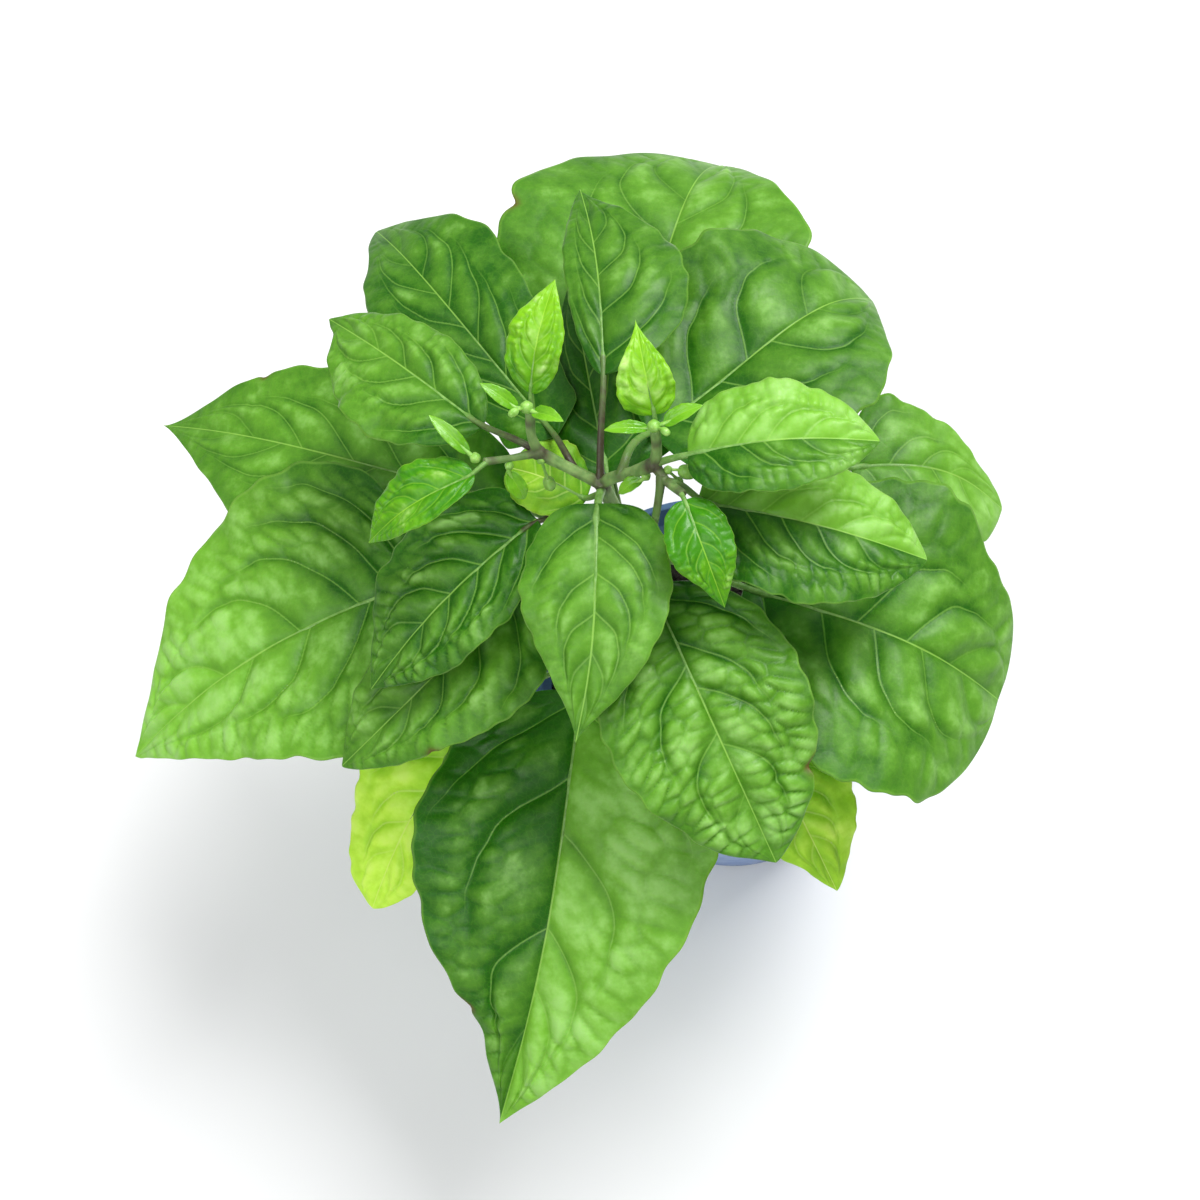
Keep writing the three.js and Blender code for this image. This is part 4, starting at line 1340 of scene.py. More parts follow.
LEAVES = (
    Leaf("leaf_front", (-5, 5, 208), (-31, -35, 222), (-72, -178, 165), (55, 53),
         widest=(0.3, 0.34), shoulder=0.42, taper=(1.07, 1.65), ease=(1.55, 2), arch=16, crest=0.45, bow=-8,
         wave=2, waves=3, petiole=1.4, swell=1.3, quilt=0.9, ladder=8, crease=1.1,
         tone=0.64, right_half_painted_light=-0.66, tone_tip=0.1,
         veins=((0.03, 0.3, 0.51, 0.65, 0.8), (0.01, 0.18, 0.51, 0.75, 0.88)),
         marks=(Mark(1, 0.52, -1.5, 0.06), Mark(1, 0.62, -1.5, 0.05), Mark(1, 0.74, 3, 0.015, 1.6),
                Mark(1, 0.79, 3.5, 0.045))),
    Leaf("leaf_left_large", (-6, 6, 228), (-84, 5, 240), (-210, -44, 198), (54, 61),
         widest=(0.3, 0.24), shoulder=0.38, taper=(0.95, 1.25), ease=(1.2, 2), arch=12, bow=3, wave=2, waves=3,
         petiole=1.4, swell=1.3, quilt=0.9, ladder=7, crease=1.2, tone=0.1, tone_tip=0.9,
         veins=((0.02, 0.15, 0.32, 0.5, 0.75), (0.0, 0.08, 0.18, 0.35, 0.6, 0.75)),
         marks=(Mark(0, 0.985, -3, 0.015), Mark(1, 0.985, -2.5, 0.015))),
    Leaf("leaf_left_back", (-6, 6, 219), (-54, 32, 240), (-205, 89, 212), (36, 35),
         widest=0.53, shoulder=0.38, taper=(1.35, 1.75), ease=(1.5, 2), arch=9, crest=0.62, petiole=1.3,
         swell=0.6, quilt=0.3, crease=0.4, tone=0.28,
         veins=((0.05, 0.2, 0.34, 0.47, 0.6, 0.75), (0.1, 0.26, 0.4, 0.54, 0.68, 0.82)),
         marks=(Mark(1, 0.72, 1.5, 0.012, 1.4), Mark(1, 0.8, -1.5, 0.15), Mark(0, 0.6, -2, 0.1))),
    Leaf("leaf_left_upper", (-27, 15, 313), (-45, 25, 315), (-104, 78, 300), (25, 17), shoulder=0.6,
         taper=(1.2, 1), arch=5, wave=1.5, waves=3, quilt=0.8, ladder=4.5, tone=0.27,
         browning=(0.75, 0.35), marks=(Mark(0, 0.9, 2.5, 0.06), Mark(1, 0.85, -1.5, 0.06))),
    Leaf("leaf_back_left", (-17, 12, 303), (-26, 30.5, 293), (-102, 136, 262), (25, 28),
         widest=(0.54, 0.58), shoulder=(0.85, 0.75), taper=(0.85, 0.9), ease=(1.6, 2), arch=12, crest=0.64,
         swell=0.5, quilt=0.3, crease=0.4, tone=0.1, browning=(0.8, 0.3),
         veins=((0.05, 0.17, 0.29, 0.42, 0.56, 0.7, 0.84), (0.1, 0.23, 0.36, 0.5, 0.64, 0.78)),
         marks=(Mark(0, 0.04, -9, 0.08), Mark(1, 0.04, -6, 0.08), Mark(0, 0.85, 2.5, 0.08),
                Mark(1, 0.66, -2.5, 0.06), Mark(1, 0.87, 2, 0.06))),
    Leaf("leaf_back", (-9, 9, 268), (-14.5, 36, 271), (24, 172, 228), (62, 51),
         widest=(0.55, 0.6), shoulder=0.5, taper=(0.75, 1), ease=1.6, arch=20, crest=0.69, wave=1.8,
         petiole=1.4, swell=0.8, quilt=0.4, ladder=8, crease=0.5, tone=0.17, right_half_painted_light=0.1, tone_tip=0.1,
         veins=((0.08, 0.26, 0.42, 0.56, 0.7, 0.84), (0.12, 0.3, 0.46, 0.62, 0.77)),
         marks=(Mark(0, 0.58, 2.0, 0.015, 2.0), Mark(0, 0.7, -3, 0.12), Mark(1, 0.06, -10, 0.1),
                Mark(1, 0.82, 7, 0.14))),
    Leaf("leaf_back_upper", (-10, 10, 300), (-6, 39, 316), (-17, 119, 300), (11, 29),
         widest=(0.5, 0.34), shoulder=0.6, taper=(1, 1.6), bow=3, swell=0.8, quilt=0.4, ladder=5, tone=0.15,
         browning=(0.8, 0.45)),
    Leaf("leaf_back_right", (-2, 8.5, 307), (4.5, 30, 290.5), (78, 88, 262), (46, 41),
         widest=(0.53, 0.59), shoulder=(0.6, 0.38), taper=(0.5, 0.9), ease=(2, 1.5), arch=14, crest=0.67,
         wave=1.5, petiole=1.3, quilt=0.5, ladder=7, crease=0.6, tone=0.0, tone_tip=0.25,
         veins=((0.02, 0.18, 0.41, 0.67, 0.85), (0.1, 0.3, 0.51, 0.72, 0.88)),
         marks=(Mark(1, 0.06, -8, 0.08), Mark(0, 0.85, 3, 0.15), Mark(1, 0.88, 3, 0.1))),
    Leaf("leaf_right_upper", (10, 6, 318), (21, 5.2, 325), (78, 6, 322), (20, 17),
         widest=0.44, shoulder=0.34, taper=0.86, fold=12, wave=1, waves=3, swell=0.7, quilt=0.9, ladder=3.8,
         tone=0.85, right_half_painted_light=-0.65, cell=0.6, browning=(0.4, 0.1),
         veins=((0.11, 0.26, 0.42, 0.61, 0.8), (0.08, 0.28, 0.4, 0.6, 0.8))),
    Leaf("leaf_right_back", (-6, 6, 232), (67, 39, 232), (120, 32, 200), (26.5, 26),
         widest=(0.2, 0.35), shoulder=0.6, taper=(0.8, 0.5), ease=(1.05, 2), arch=9, bow=-4, petiole=1.3,
         swell=0.5, quilt=0.3, crease=0.3, tone=0.42, tone_tip=0.25,
         marks=(Mark(0, 0.7, 2, 0.15), Mark(1, 0.93, -4.5, 0.06))),
    Leaf("leaf_right_middle", (14, 0.5, 316), (21, -1, 303.5), (90, -17, 282), (22, 26),
         widest=0.46, shoulder=0.36, taper=0.8, wave=1.6, waves=3, swell=0.8, quilt=0.9, ladder=4.5,
         tone=0.72, right_half_painted_light=-0.68, cell=0.6,
         veins=((0.02, 0.12, 0.26, 0.43, 0.59, 0.76), (0.07, 0.2, 0.35, 0.5, 0.67, 0.82))),
    Leaf("leaf_right_large", (-7, 7, 244), (30, -11, 252), (112, -44, 215), (54, 52.5),
         widest=0.5, taper=(0.47, 0.5), ease=(1.5, 2), arch=18, crest=0.55, wave=0.8, waves=3, petiole=1.4,
         swell=1.2, quilt=0.6, ladder=8, crease=0.8, tone=0.08, tone_tip=0.2,
         marks=(Mark(0, 0.76, 6, 0.12), Mark(1, 0.82, -4, 0.12))),
    Leaf("leaf_front_right", (12, 3, 316.5), (3, -20, 282), (37, -103, 246), (33, 34),
         widest=(0.42, 0.45), shoulder=0.55, taper=(0.8, 1), arch=10, wave=1.8, waves=3, petiole=1.2,
         rising=-0.2, quilt=1.3, ladder=5, crease=0.8, calm=0.8, tone=0.2, cell=0.6,
         veins=((0.02, 0.2, 0.36, 0.56, 0.76), (0.08, 0.28, 0.52, 0.74, 0.88)),
         marks=(Mark(0, 0.74, 2.5, 0.02, 1.8), Mark(1, 0.87, -3, 0.08))),
    Leaf("leaf_front_upper", (-10, 10, 296), (-10, 0, 306), (-20, -72, 288), (24, 24),
         widest=0.35, shoulder=(0.33, 0.36), taper=1.45, arch=7, bow=-4, bend=0.55, swell=0.8, quilt=0.5,
         ladder=5, tone=0.32, cell=0.7, petiole=1.4, browning=(0.15, 0.0),
         veins=((0.06, 0.14, 0.3, 0.46, 0.63), (0.06, 0.3, 0.47, 0.64))),
    Leaf("leaf_left_middle", (-9, 9, 280), (-33, 3.5, 289), (-94, -44, 266), (21, 28),
         widest=(0.49, 0.41), shoulder=(0.36, 0.28), taper=1.1, arch=7, wave=1.6, waves=3, rising=0.05,
         swell=1.1, quilt=1.1, ladder=5.5, crease=0.9, tone=0.05, cell=0.7,
         browning=(0.9, 0.6),
         veins=((0.04, 0.16, 0.3, 0.46, 0.62, 0.78), (0.02, 0.12, 0.28, 0.45, 0.62, 0.8))),
    Leaf("leaf_left_front", (-8, 8, 258), (-45, -13, 266), (-112, -63, 240), (32, 22),
         widest=(0.24, 0.5), shoulder=0.4, taper=(0.8, 1), ease=(1.2, 2), arch=8, bow=-4, wave=1.5,
         swell=1.1, quilt=1.0, ladder=6, crease=0.8, tone=0.25, marks=(Mark(0, 0.6, 1.0, 0.015, 1.5),)),
    Leaf("leaf_low_front_left", (-2, 3, 172), (-82, -48, 205), (-120, -101, 175), (18, 28),
         widest=(0.5, 0.35), taper=(0.85, 0.6), ease=(2, 1.3), tone=0.8,
         marks=(Mark(1, 0.45, 1.5, 0.15), Mark(1, 0.9, -2.5, 0.06)), **PALE),
    Leaf("leaf_low_front_right", (-3, 3, 184), (33, -57, 205), (53, -101, 180), (19, 15),
         widest=(0.35, 0.5), taper=(0.8, 1.3), ease=(1.3, 2), tone=0.45,
         marks=(Mark(1, 0.75, 3, 0.12), Mark(0, 0.5, -3, 0.3)), **PALE),
    Leaf("leaf_inner_left", (-10, 9.5, 290), (-17, 10, 286), (-43, 22, 290), (12, 15),
         widest=0.5, taper=0.5, arch=5, tone=0.22, **{**PALE, "swell": 0.4, "quilt": 0.0, "crease": 0.3}),
    Leaf("leaf_inner_back", (-9, 9, 278), (-10, 18, 286), (-24, 97, 279), (14, 15),
         widest=(0.25, 0.2), shoulder=0.3, arch=5, tone=-0.1, marks=(Mark(0, 0.2, -5, 0.15), Mark(1, 0.09, -12, 0.13))),
    Leaf("leaf_young_right", (18, -4, 318.5), (19.5, -7.5, 321), (29, -37, 305), (10, 10.5),
         widest=0.38, shoulder=0.4, taper=1.2, arch=5, marks=(Mark(1, 0.75, 1.5, 0.12),),
         **{**YOUNG, "tone": -0.05}),
    Leaf("leaf_young_back_right", (12.5, 8.2, 330), (13, 13.5, 336), (10, 37, 352), (9.5, 8),
         widest=0.3, shoulder=0.4, taper=1.7, arch=4, **{**YOUNG, "tone": 0.55}),
    Leaf("leaf_young_back_left", (-26.3, 18.7, 328.5), (-25, 24.5, 335.5), (-14, 53, 352), (10, 8.5),
         taper=1.2, arch=4, **YOUNG),
    Leaf("leaf_young_left", (-40, 9.8, 321.7), (-45, 5, 323.5), (-83, -9, 308), (9, 12.5),
         taper=1.1, arch=5, fold=15, **{**YOUNG, "tone": 0.1}),
)


# ---- growing tips and buds


@dataclass(frozen=True)
class TinyLeaf:
    """One unfolding leaf of a growing tip."""

    base: Point
    tip: Point
    width: float


@dataclass(frozen=True)
class Bud:
    """One flower bud on its thin stalk."""

    start: Point
    centre: Point
    half_length: float
    radius: float


def add_bud(draft: Draft, centre: Point, along: Point | np.ndarray, half_length: float, radius: float,
            ribs: int) -> None:
    """Adds a round ribbed bud to a draft.

    Args:
        draft: the draft to add to.
        centre: the bud's middle.
        along: the way that its tip points.
        half_length: half of its length.
        radius: its radius.
        ribs: how many soft ribs run down it.
    """
    rows, columns, fullness, rib_height, groove_shade = 19, 25, 0.85, 0.05, 0.25
    axis = unit(np.array(along, float))
    first = unit(np.cross(axis, np.array([0.3, 0.9, 0.2])))
    second = np.cross(axis, first)
    theta = np.linspace(0, np.pi, rows)[:, None]
    phi = np.linspace(0, 2 * np.pi, columns)[None, :]
    bulge = np.sin(theta) ** fullness * (1 + rib_height * np.cos(ribs * phi) * np.sin(theta))
    points = (np.array(centre) - axis * (half_length * np.cos(theta) * np.ones_like(phi))[..., None]
              + first * (radius * bulge * np.cos(phi))[..., None]
              + second * (radius * bulge * np.sin(phi))[..., None])
    points[:, -1] = points[:, 0]
    # Painted shade: the grooves between the ribs are darkened through the browning value.
    groove = groove_shade * (0.5 - 0.5 * np.cos(ribs * phi)) * np.sin(theta)
    draft.add(points, grid_faces(rows, columns, flip=False), browning=groove)


@dataclass(frozen=True)
class Sprout:
    """A growing tip, or a flower bud, on the small knob that carries it."""

    name: str
    knob: Point
    knob_radius: float
    leaves: tuple[TinyLeaf, ...] = ()
    buds: tuple[Bud, ...] = ()

    LEAF_STALK = (0.9, 0.7, 0.35)  # its radius in the knob, at the blade, and under the blade
    LEAF_STALK_REACH = 0.3  # how far it runs under the blade
    PEDICEL = (0.55, 0.44, 0.825)  # the thin stalk's radius at its foot, in the middle and at the bud
    PEDICEL_ARCH = 0.8
    PEDICEL_BROWNING = 0.1
    STALK_STEPS = 6
    STALK_LOOK = {"Sides": 10, "Rib Depth": 0.03}
    KNOB_RIBS = 5
    BUD_RIBS = 6

    def make(self, materials: dict[Age, bpy.types.Material], skin: bpy.types.Material,
             stalks: bpy.types.NodeTree) -> None:
        """Builds the tiny leaves, where there are any, the knob with the buds, and their stalks.

        Args:
            materials: the leaf materials.
            skin: the material of buds and stalks.
            stalks: the geometry tree for stalks.
        """
        slot = Age.TINY.value
        if self.leaves:
            draft = Draft()
            for place, tiny in enumerate(self.leaves):
                self._blade(tiny, place).draw(draft)
            seat(draft.finish(f"{self.name}_leaves", materials[Age.TINY]), slot, self.name)
        lines = []
        for tiny in self.leaves:
            base, tip = np.array(tiny.base), np.array(tiny.tip)
            lines.append(self._line((self.knob, base, base + self.LEAF_STALK_REACH * (tip - base)),
                                    self.LEAF_STALK, 0.0))
        draft = Draft()
        add_bud(draft, self.knob, (0, 0, 1), self.knob_radius, self.knob_radius, self.KNOB_RIBS)
        for bud in self.buds:
            start, end = np.array(bud.start, float), np.array(bud.centre, float)
            middle = 0.5 * (start + end) + np.array([0, 0, self.PEDICEL_ARCH])
            lines.append(self._line((start, middle, end), self.PEDICEL, self.PEDICEL_BROWNING))
            add_bud(draft, bud.centre, end - middle, bud.half_length, bud.radius, self.BUD_RIBS)
        tubes = grown(line_host(lines), f"{self.name}_stalks", stalks, {**self.STALK_LOOK, "Material": skin})
        buds = draft.finish(f"{self.name}_buds", skin)
        for piece in (tubes, buds):
            seat(piece, slot, self.name)

    def _line(self, points: Sequence[Point | np.ndarray], radii: Sequence[float],
              browning: float) -> tuple[np.ndarray, dict[str, np.ndarray]]:
        """A thin stalk's path, with its thickness and how brown it is."""
        path, size = through(points, radii, self.STALK_STEPS)
        return path, {"thickness": size * MM, "browning": np.full(len(path), browning)}

    def _blade(self, tiny: TinyLeaf, place: int) -> Blade:
        """The blade of one tiny leaf."""
        return Blade(Leaf(f"{self.name}_{place}", self.knob, tiny.base, tiny.tip, (tiny.width / 2,) * 2,
                          shoulder=0.4, arch=1.2, fold=15, droop=0, wave=0.2, petiole=0.6, swell=0.25,
                          quilt=0.12, ladder=1.6, thickness=0.5, cell=0.35, tone=0.45, age=Age.TINY))


SPROUTS = (
    Sprout("sprout_left_top", (-26, 20.2, 335), 2.0,
           (TinyLeaf((-29, 20, 335.5), (-39, 26, 342), 5), TinyLeaf((-24, 18.5, 335), (-14, 13, 338), 5)),
           (Bud((-27, 19.5, 335.5), (-29.5, 17.5, 337.5), 1.8, 1.3),)),
    Sprout("sprout_left_side", (-44.2, 9.3, 325.6), 1.7, (TinyLeaf((-46, 10.5, 327), (-57, 21, 334), 5),)),
    Sprout("tiny_leaf_left", (-35.5, 9.6, 317.4), 1.4, (TinyLeaf((-35.8, 8, 316), (-33, 3, 306), 6),)),
    Sprout("sprout_right_top", (13, 9.2, 337.6), 2.0,
           (TinyLeaf((11, 9, 337), (-2, 9, 338), 4.5), TinyLeaf((16, 9.5, 338), (28, 13, 341), 5.5)),
           (Bud((14, 8.5, 337.6), (16.5, 6.5, 339), 1.6, 1.2),)),
    Sprout("tiny_leaf_right", (6.6, 4.8, 312.6), 1.5, (TinyLeaf((5.2, 4, 311.8), (-3, 2, 307), 5),)),
    Sprout("flower_bud_right", (14, 4.4, 316.6), 1.4, (),
           (Bud((14, 4.4, 316.6), (19.5, 4.5, 314), 3.0, 2.4), Bud((14, 4.2, 316), (16.5, 3.2, 310.5), 1.7, 1.3))),
    Sprout("flower_bud_left", (-26.5, 13.2, 312.5), 1.5, (),
           (Bud((-26.5, 13, 312), (-26.5, 10.5, 300), 3.2, 2.0),)),
)


# ---- stem


@dataclass(frozen=True)
class Run:
    """One run of the stem: points of its axis, and its radius at each."""

    points: tuple[Point, ...]
    radii: tuple[float, ...]


@dataclass
class Stem:
    """The stem with its fork, branches and short shoots, grown as one body."""

    runs: tuple[Run, ...] = (
        Run(((0, 0, 74), (0, 0, 108), (-1, 2, 150), (-4, 4, 200), (-7, 7, 250), (-9, 9, 285), (-10, 10, 301)),
            (3.6, 3.5, 2.9, 2.7, 2.5, 2.4, 2.5)),
        Run(((-10, 10, 298), (-14, 11, 302), (-20, 13, 307), (-27, 15, 314)), (2.2, 1.9, 1.8, 2.2)),
        Run(((-27, 15, 313), (-27.5, 17, 322), (-25.5, 20, 333)), (1.9, 1.5, 1.6)),
        Run(((-27, 15, 314), (-34, 12, 318), (-42, 9, 323)), (1.6, 1.1, 1.3)),
        Run(((-10, 10, 298), (-5, 9, 304), (2, 7.5, 310), (10, 6, 318)), (2.2, 2.0, 1.9, 2.3)),
        Run(((10, 6, 317), (12, 7.5, 326), (13, 9, 336)), (2.0, 1.6, 1.6)),
        Run(((10, 6, 318), (13.5, 1, 316), (19, -5, 319)), (1.8, 1.4, 1.4)),
    )
    joints: tuple[Point, ...] = ((-10, 10, 299), (-27, 15, 314), (10, 6, 318))
    joint_size: tuple[float, float] = (2.806, 2.44)  # half its length, and its radius
    joint_lean: Point = (0.2, -0.1, 1)
    joint_ribs: int = 5
    joint_brown: tuple[float, float] = (0.75, 5.0)  # how brown, and how far it reaches
    leaf_scar_brown: tuple[float, float] = (0.6, 3.2)
    foot_brown: tuple[float, float, float] = (0.75, 104, 150)  # how brown, and where it fades
    steps: int = 10
    voxel: float = 0.32
    relaxing: tuple[float, int] = (0.5, 4)
    sides: int = 20
    ribs: float = 5.0
    rib_depth: float = 0.07

    def make(self, material: bpy.types.Material, stalks: bpy.types.NodeTree) -> bpy.types.Object:
        """Builds the stem as one fused mesh.

        Args:
            material: the stem's material.
            stalks: the geometry tree for stalks.

        Returns:
            The stem piece.
        """
        lines = []
        for run in self.runs:
            path, size = through(run.points, run.radii, self.steps)
            lines.append((path, {"thickness": size * MM}))
        tubes = grown(line_host(lines), "stem_runs", stalks, {
            "Sides": self.sides, "Ribs": self.ribs, "Rib Depth": self.rib_depth, "Material": material})
        knots = Draft()
        for joint in self.joints:
            add_bud(knots, joint, self.joint_lean, *self.joint_size, self.joint_ribs)
        fused = join([tubes, knots.finish("stem_knots", material)], "stem_fused")
        remesh = fused.modifiers.new("Fuse", "REMESH")
        remesh.mode = "VOXEL"
        remesh.voxel_size = self.voxel * MM
        relax = fused.modifiers.new("Relax", "SMOOTH")
        relax.factor, relax.iterations = self.relaxing
        stem = baked(fused, "pepper_stem")
        self._colour(stem.data)
        stem.data.materials.clear()
        stem.data.materials.append(material)
        stem.data.shade_smooth()
        return seat(stem, "plant_stem", "stem")

    def _colour(self, mesh: bpy.types.Mesh) -> None:
        """Stores how brown each point is: at the joints, where leaves leave, and near the soil.

        Args:
            mesh: the stem's mesh.
        """
        spots = np.zeros(len(mesh.vertices) * 3)
        mesh.vertices.foreach_get("co", spots)
        spots = spots.reshape(-1, 3) / MM
        most, low, high = self.foot_brown
        brown = most * (1 - smooth_between(low, high, spots[:, 2]))
        places = [(joint, self.joint_brown) for joint in self.joints]
        places += [(leaf.foot, self.leaf_scar_brown) for leaf in LEAVES]
        for place, (most, reach) in places:
            away = np.linalg.norm(spots - np.array(place), axis=1)
            brown = np.maximum(brown, most * np.exp(-(away / reach) ** 2))
        store(mesh, "browning", "POINT", brown)


def join(pieces: Sequence[bpy.types.Object], name: str) -> bpy.types.Object:
    """Joins mesh objects into one.

    Args:
        pieces: the objects, which are used up.
        name: the new object's name.

    Returns:
        The joined object.
    """
    for piece in bpy.context.selected_objects:
        piece.select_set(False)
    for piece in pieces:
        piece.select_set(True)
    bpy.context.view_layer.objects.active = pieces[0]
    bpy.ops.object.join()
    pieces[0].name = name
    return pieces[0]


# ---- pot and soil


@dataclass
class Pot:
    """The moulded pot, with its stepped rim band, lip, foot and drain holes."""

    height: float = 130
    foot_radius: float = 56
    under_rim_radius: float = 71.5
    rim_radius: float = 76
    rim_band: float = 16
    lip_reach: float = 1.1
    lip_height: float = 2.2
    foot_chamfer: float = 1.5
    wall: float = 1.8
    floor: float = 2.4
    drain_holes: int = 6
    drain_radius: float = 5
    drain_circle: float = 40
    groove_width: float = 9
    groove_depth: float = 1.2
    band_draft: float = 0.5
    step_height: float = 0.8
    inner_step: tuple[float, float] = (1.0, 2.6)  # below and above the rim band's lower edge
    rounding: float = 0.8
    inner_rounding: float = 1.5
    rounding_steps: int = 5
    sharp_angle: float = 35

    def outer_radius(self, z: float) -> float:
        """The wall's outer radius at a height below the rim band."""
        return self.foot_radius + (self.under_rim_radius - self.foot_radius) * z / (self.height - self.rim_band)

    def profile(self) -> np.ndarray:
        """The pot's section from the axis under the floor, round the wall, to the axis inside."""
        under = self.height - self.rim_band
        band = self.rim_radius - self.lip_reach
        top, lip = self.height, self.height - self.lip_height
        below, above = self.inner_step
        corners = [
            (0, 0, 0), (self.foot_radius - self.foot_chamfer, 0, self.rounding),
            (self.outer_radius(self.foot_chamfer), self.foot_chamfer, self.rounding),
            (self.under_rim_radius, under, 0.35), (band - self.band_draft, under + self.step_height, 0.5),
            (band, lip - self.step_height, 0.4), (self.rim_radius, lip, 0.5),
            (self.rim_radius, top, self.rounding), (band - self.wall, top, self.rounding),
            (band - self.band_draft - self.wall, under + above, self.rounding),
            (self.outer_radius(under) - self.wall, under - below, self.rounding),
            (self.outer_radius(self.floor) - self.wall, self.floor, self.inner_rounding), (0, self.floor, 0),
        ]
        points = []
        for index, (radius, height, rounding) in enumerate(corners):
            here = np.array([radius, height], float)
            if rounding == 0:
                points.append(here)
                continue
            before, after = (unit(np.array(corners[index + step][:2], float) - here) * rounding
                             for step in (-1, 1))
            points += [here + before * (1 - t) ** 2 + after * t ** 2
                       for t in np.linspace(0, 1, self.rounding_steps)]
        return np.array(points)

    def make(self, material: bpy.types.Material, tree: bpy.types.NodeTree) -> bpy.types.Object:
        """Builds the pot.

        Args:
            material: its plastic.
            tree: the geometry tree that turns a profile.

        Returns:
            The pot piece.
        """
        flat = self.profile()
        line = np.column_stack([flat[:, 0] - TURNING_RADIUS, -flat[:, 1], np.zeros(len(flat))])
        sizes = {"Hole Radius": self.drain_radius, "Hole Circle": self.drain_circle,
                 "Groove Width": self.groove_width, "Groove Depth": self.groove_depth,
                 "Groove Length": self.foot_radius}
        pot = grown(line_host([(line, {})]), "nursery_pot", tree, {
            "Holes": self.drain_holes, "Material": material, **{name: size * MM for name, size in sizes.items()}})
        pot.data.shade_smooth()
        pot.data.set_sharp_from_angle(angle=math.radians(self.sharp_angle))
        return seat(pot, "pot_plastic", "pot")


@dataclass
class Soil:
    """The soil that fills the pot, crumbly on top, with the hole that the stem stands in."""

    bottom: float = 2.7
    top: float = 102
    crown: float = 3
    edge_drop: float = 2
    gap: float = 0.3
    stem_hole: float = 3.95
    hole_bottom: float = 73.7
    hole_rings: int = 12
    hole_ends: tuple[float, float] = (2.0, 1.0)
    surface_inset: float = 0.6
    rings: int = 60
    segments: int = 180
    lump: float = 0.5
    lump_level: float = 0.4
    calm_edge: float = 6
    seed: int = 11

    def section(self, pot: Pot) -> np.ndarray:
        """The soil's section from the foot of the stem's hole, over the surface, to the axis below.

        Args:
            pot: the pot that it fills.

        Returns:
            For each point its radius, its height, and 1 where it is on the surface, else 0.
        """
        wall, foot = (pot.outer_radius(height) - pot.wall - self.gap
                      for height in (self.top - self.edge_drop, self.bottom))
        low, high = self.hole_ends
        points = [(0.0, self.hole_bottom, 0.0), (self.stem_hole, self.hole_bottom, 0.0)]
        points += [(self.stem_hole, z, 0.0) for z in
                   np.linspace(self.hole_bottom + low, self.top + self.crown - high, self.hole_rings)]
        points += [(r, self.top + self.crown * (1 - r / wall), 1.0) for r in
                   np.linspace(self.stem_hole + self.surface_inset, wall - self.surface_inset, self.rings)]
        points += [(wall, self.top - self.edge_drop, 0.0), (foot, self.bottom, 0.0), (0.0, self.bottom, 0.0)]
        return np.array(points)

    @staticmethod
    def lumps(x: np.ndarray, y: np.ndarray) -> np.ndarray:
        """Uneven rises and dips of about 1, from three sets of waves across each other."""
        return (np.sin(x * 0.31 + 1) * np.cos(y * 0.27) + 0.6 * np.sin(x * 0.83 + y * 0.6)
                + 0.4 * np.sin(x * 1.7 - y * 1.3) * np.cos(y * 1.9))

    def make(self, pot: Pot, material: bpy.types.Material, tree: bpy.types.NodeTree) -> bpy.types.Object:
        """Builds the soil.

        Args:
            pot: the pot that it fills.
            material: its finish.
            tree: the geometry tree that strews crumbs.

        Returns:
            The soil piece.
        """
        section = self.section(pot)
        radius, height, surface = (column[:, None] for column in section.T)
        wall = pot.outer_radius(self.top - self.edge_drop) - pot.wall - self.gap
        angle = np.linspace(0, 2 * np.pi, self.segments + 1)
        x, y = radius * np.cos(angle), radius * np.sin(angle)
        edge = np.clip((wall - radius) / self.calm_edge, 0, 1)
        z = height + surface * self.lump * (self.lumps(x, y) - self.lump_level) * edge
        points = np.stack([x, y, z], -1)
        points[:, -1] = points[:, 0]
        draft = Draft()
        draft.add(points, grid_faces(len(section), self.segments + 1, flip=True),
                  surface=np.broadcast_to(surface, x.shape))
        host = draft.finish("soil_host", material)
        soil = grown(host, "potting_soil", tree, {"Seed": self.seed, "Material": material})
        return seat(soil, "potting_soil", "soil")


# ---- studio


@dataclass(frozen=True)
class SoftLight:
    """A square soft light that points at the plant: its place and side in metres, its power in watts."""

    name: str
    place: Point
    side: float
    power: float

    TARGET = (0, 0, 0.25)

    def make(self) -> None:
        """Hangs the light."""
        light = bpy.data.lights.new(self.name, "AREA")
        light.size, light.energy = self.side, self.power
        lamp = add_object(self.name, light)
        lamp.location = self.place
        lamp.rotation_euler = (Vector(self.TARGET) - Vector(self.place)).to_track_quat("-Z", "Y").to_euler()


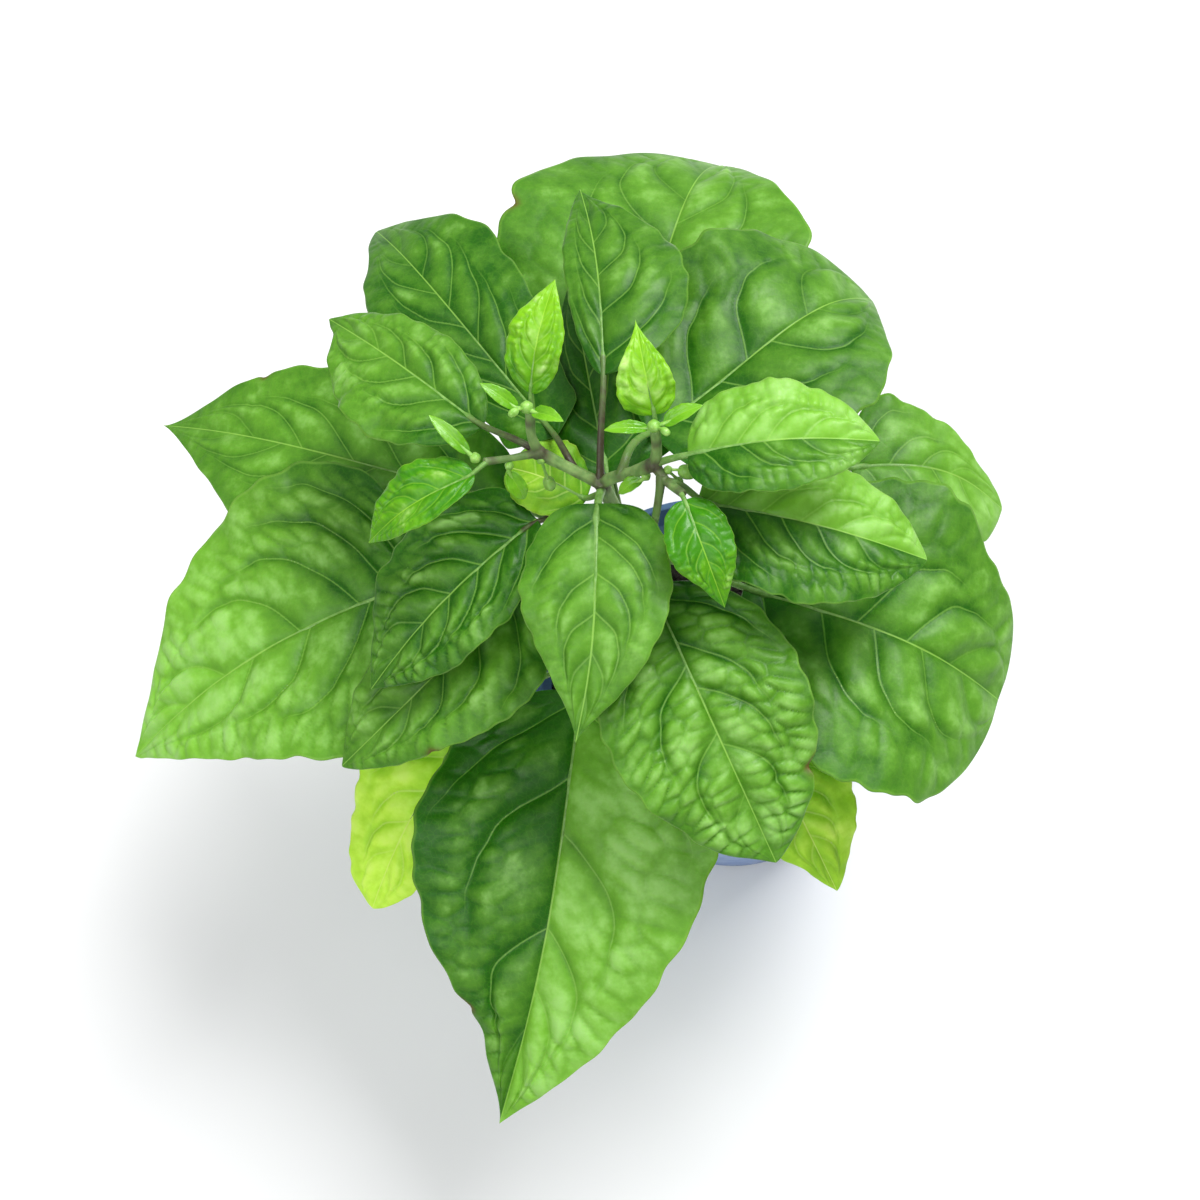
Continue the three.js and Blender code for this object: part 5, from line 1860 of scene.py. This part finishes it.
@dataclass
class Studio:
    """The pale floor, the soft lights and the camera."""

    camera_place: Point = (78, -206, 775)
    camera_tilt: float = 22.5  # off straight down
    camera_turn: float = 26.6  # from the plant's front to its right
    lens: float = 50.0
    sensor: float = 36.0
    floor_size: float = 6.0
    floor_colour: Colour = (0.93, 0.93, 0.93)
    floor_roughness: float = 0.9
    floor_shine: float = 0.1
    lights: tuple[SoftLight, ...] = (SoftLight("key", (0.7, 0.6, 1.7), 0.8, 32),
                                     SoftLight("fill", (-0.6, -0.9, 1.7), 1.2, 15))
    sky_colour: Colour = (0.97, 0.985, 1.0)
    world_strength: float = 0.43

    def make(self) -> None:
        """Sets up the camera, the floor and the lights, with colours shown as they are."""
        bpy.context.scene.view_settings.view_transform = "Standard"
        self._camera()
        self._floor()
        for light in self.lights:
            light.make()
        self._sky()

    def _camera(self) -> None:
        """Places the camera, looking down with the plant's back at the top of the frame."""
        tilt, turn = math.radians(self.camera_tilt), math.radians(self.camera_turn)
        back = Vector((math.sin(turn) * math.sin(tilt), -math.cos(turn) * math.sin(tilt), math.cos(tilt)))
        up = Vector((0, 1, 0))
        up = (up - up.dot(back) * back).normalized()
        camera = bpy.data.cameras.new("camera")
        camera.lens, camera.sensor_width = self.lens, self.sensor
        seen = add_object("camera", camera)
        axes = Matrix((up.cross(back), up, back)).transposed().to_4x4()
        seen.matrix_world = Matrix.Translation(Vector(self.camera_place) * MM) @ axes
        bpy.context.scene.camera = seen

    def _floor(self) -> None:
        """Makes the plain pale floor."""
        size = self.floor_size
        mesh = bpy.data.meshes.new("floor")
        mesh.from_pydata([(-size, -size, 0), (size, -size, 0), (size, size, 0), (-size, size, 0)], [],
                         [(0, 1, 2, 3)])
        material, _, shader = start_material("Floor")
        shader.inputs["Base Color"].default_value = (*self.floor_colour, 1)
        shader.inputs["Roughness"].default_value = self.floor_roughness
        shader.inputs["Specular IOR Level"].default_value = self.floor_shine
        mesh.materials.append(material)
        add_object("floor", mesh)

    def _sky(self) -> None:
        """Lights the plant evenly from all round."""
        world = bpy.data.worlds.new("sky")
        bpy.context.scene.world = world
        world.use_nodes = True
        sky = world.node_tree.nodes["Background"]
        sky.inputs["Color"].default_value = (*self.sky_colour, 1)
        sky.inputs["Strength"].default_value = self.world_strength


# ---- main


def make_leaf(leaf: Leaf, materials: dict[Age, bpy.types.Material], skin: bpy.types.Material,
              stalks: bpy.types.NodeTree) -> None:
    """Builds one leaf: its blade, and its stalk with the rib under the blade.

    Args:
        leaf: the leaf.
        materials: the leaf materials.
        skin: the stalk's material.
        stalks: the geometry tree for stalks.
    """
    blade = Blade(leaf)
    draft = Draft()
    blade.draw(draft)
    seat(draft.finish(f"{leaf.name}_blade", materials[leaf.age]), leaf.age.value, leaf.name)
    stalk = grown(line_host([blade.stalk()]), f"{leaf.name}_stalk", stalks,
                  {"Sides": 14, "Ribs": 3.0, "Rib Depth": 0.05, "Material": skin})
    seat(stalk, "plant_stem", leaf.name)


def main() -> None:
    """Builds the pot, the soil and the plant around the frame, and reports each piece."""
    logging.basicConfig(level=logging.INFO, format="%(name)s: %(message)s")
    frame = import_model()
    Studio().make()
    looks = SharedLooks()
    leaf_materials = {age: finish.material(looks) for age, finish in LEAF_FINISHES.items()}
    stalk_skin, bud_skin = STALK_FINISH.material(looks), BUD_FINISH.material(looks)
    stalks = stalk_tree()
    pot = Pot()
    pot.make(PlasticFinish().material(looks), turned_tree())
    Soil().make(pot, SoilFinish().material(looks), crumb_tree())
    Stem().make(STEM_FINISH.material(looks), stalks)
    for leaf in LEAVES:
        make_leaf(leaf, leaf_materials, stalk_skin, stalks)
    for sprout in SPROUTS:
        sprout.make(leaf_materials, bud_skin, stalks)
    missing = sorted(set(frame["nodes"]) - {"pot", "soil", "stem"} - {item.name for item in (*LEAVES, *SPROUTS)})
    if missing:
        log.warning("solids with no finished piece: %s", ", ".join(missing))


if __name__ == "__main__":
    main()
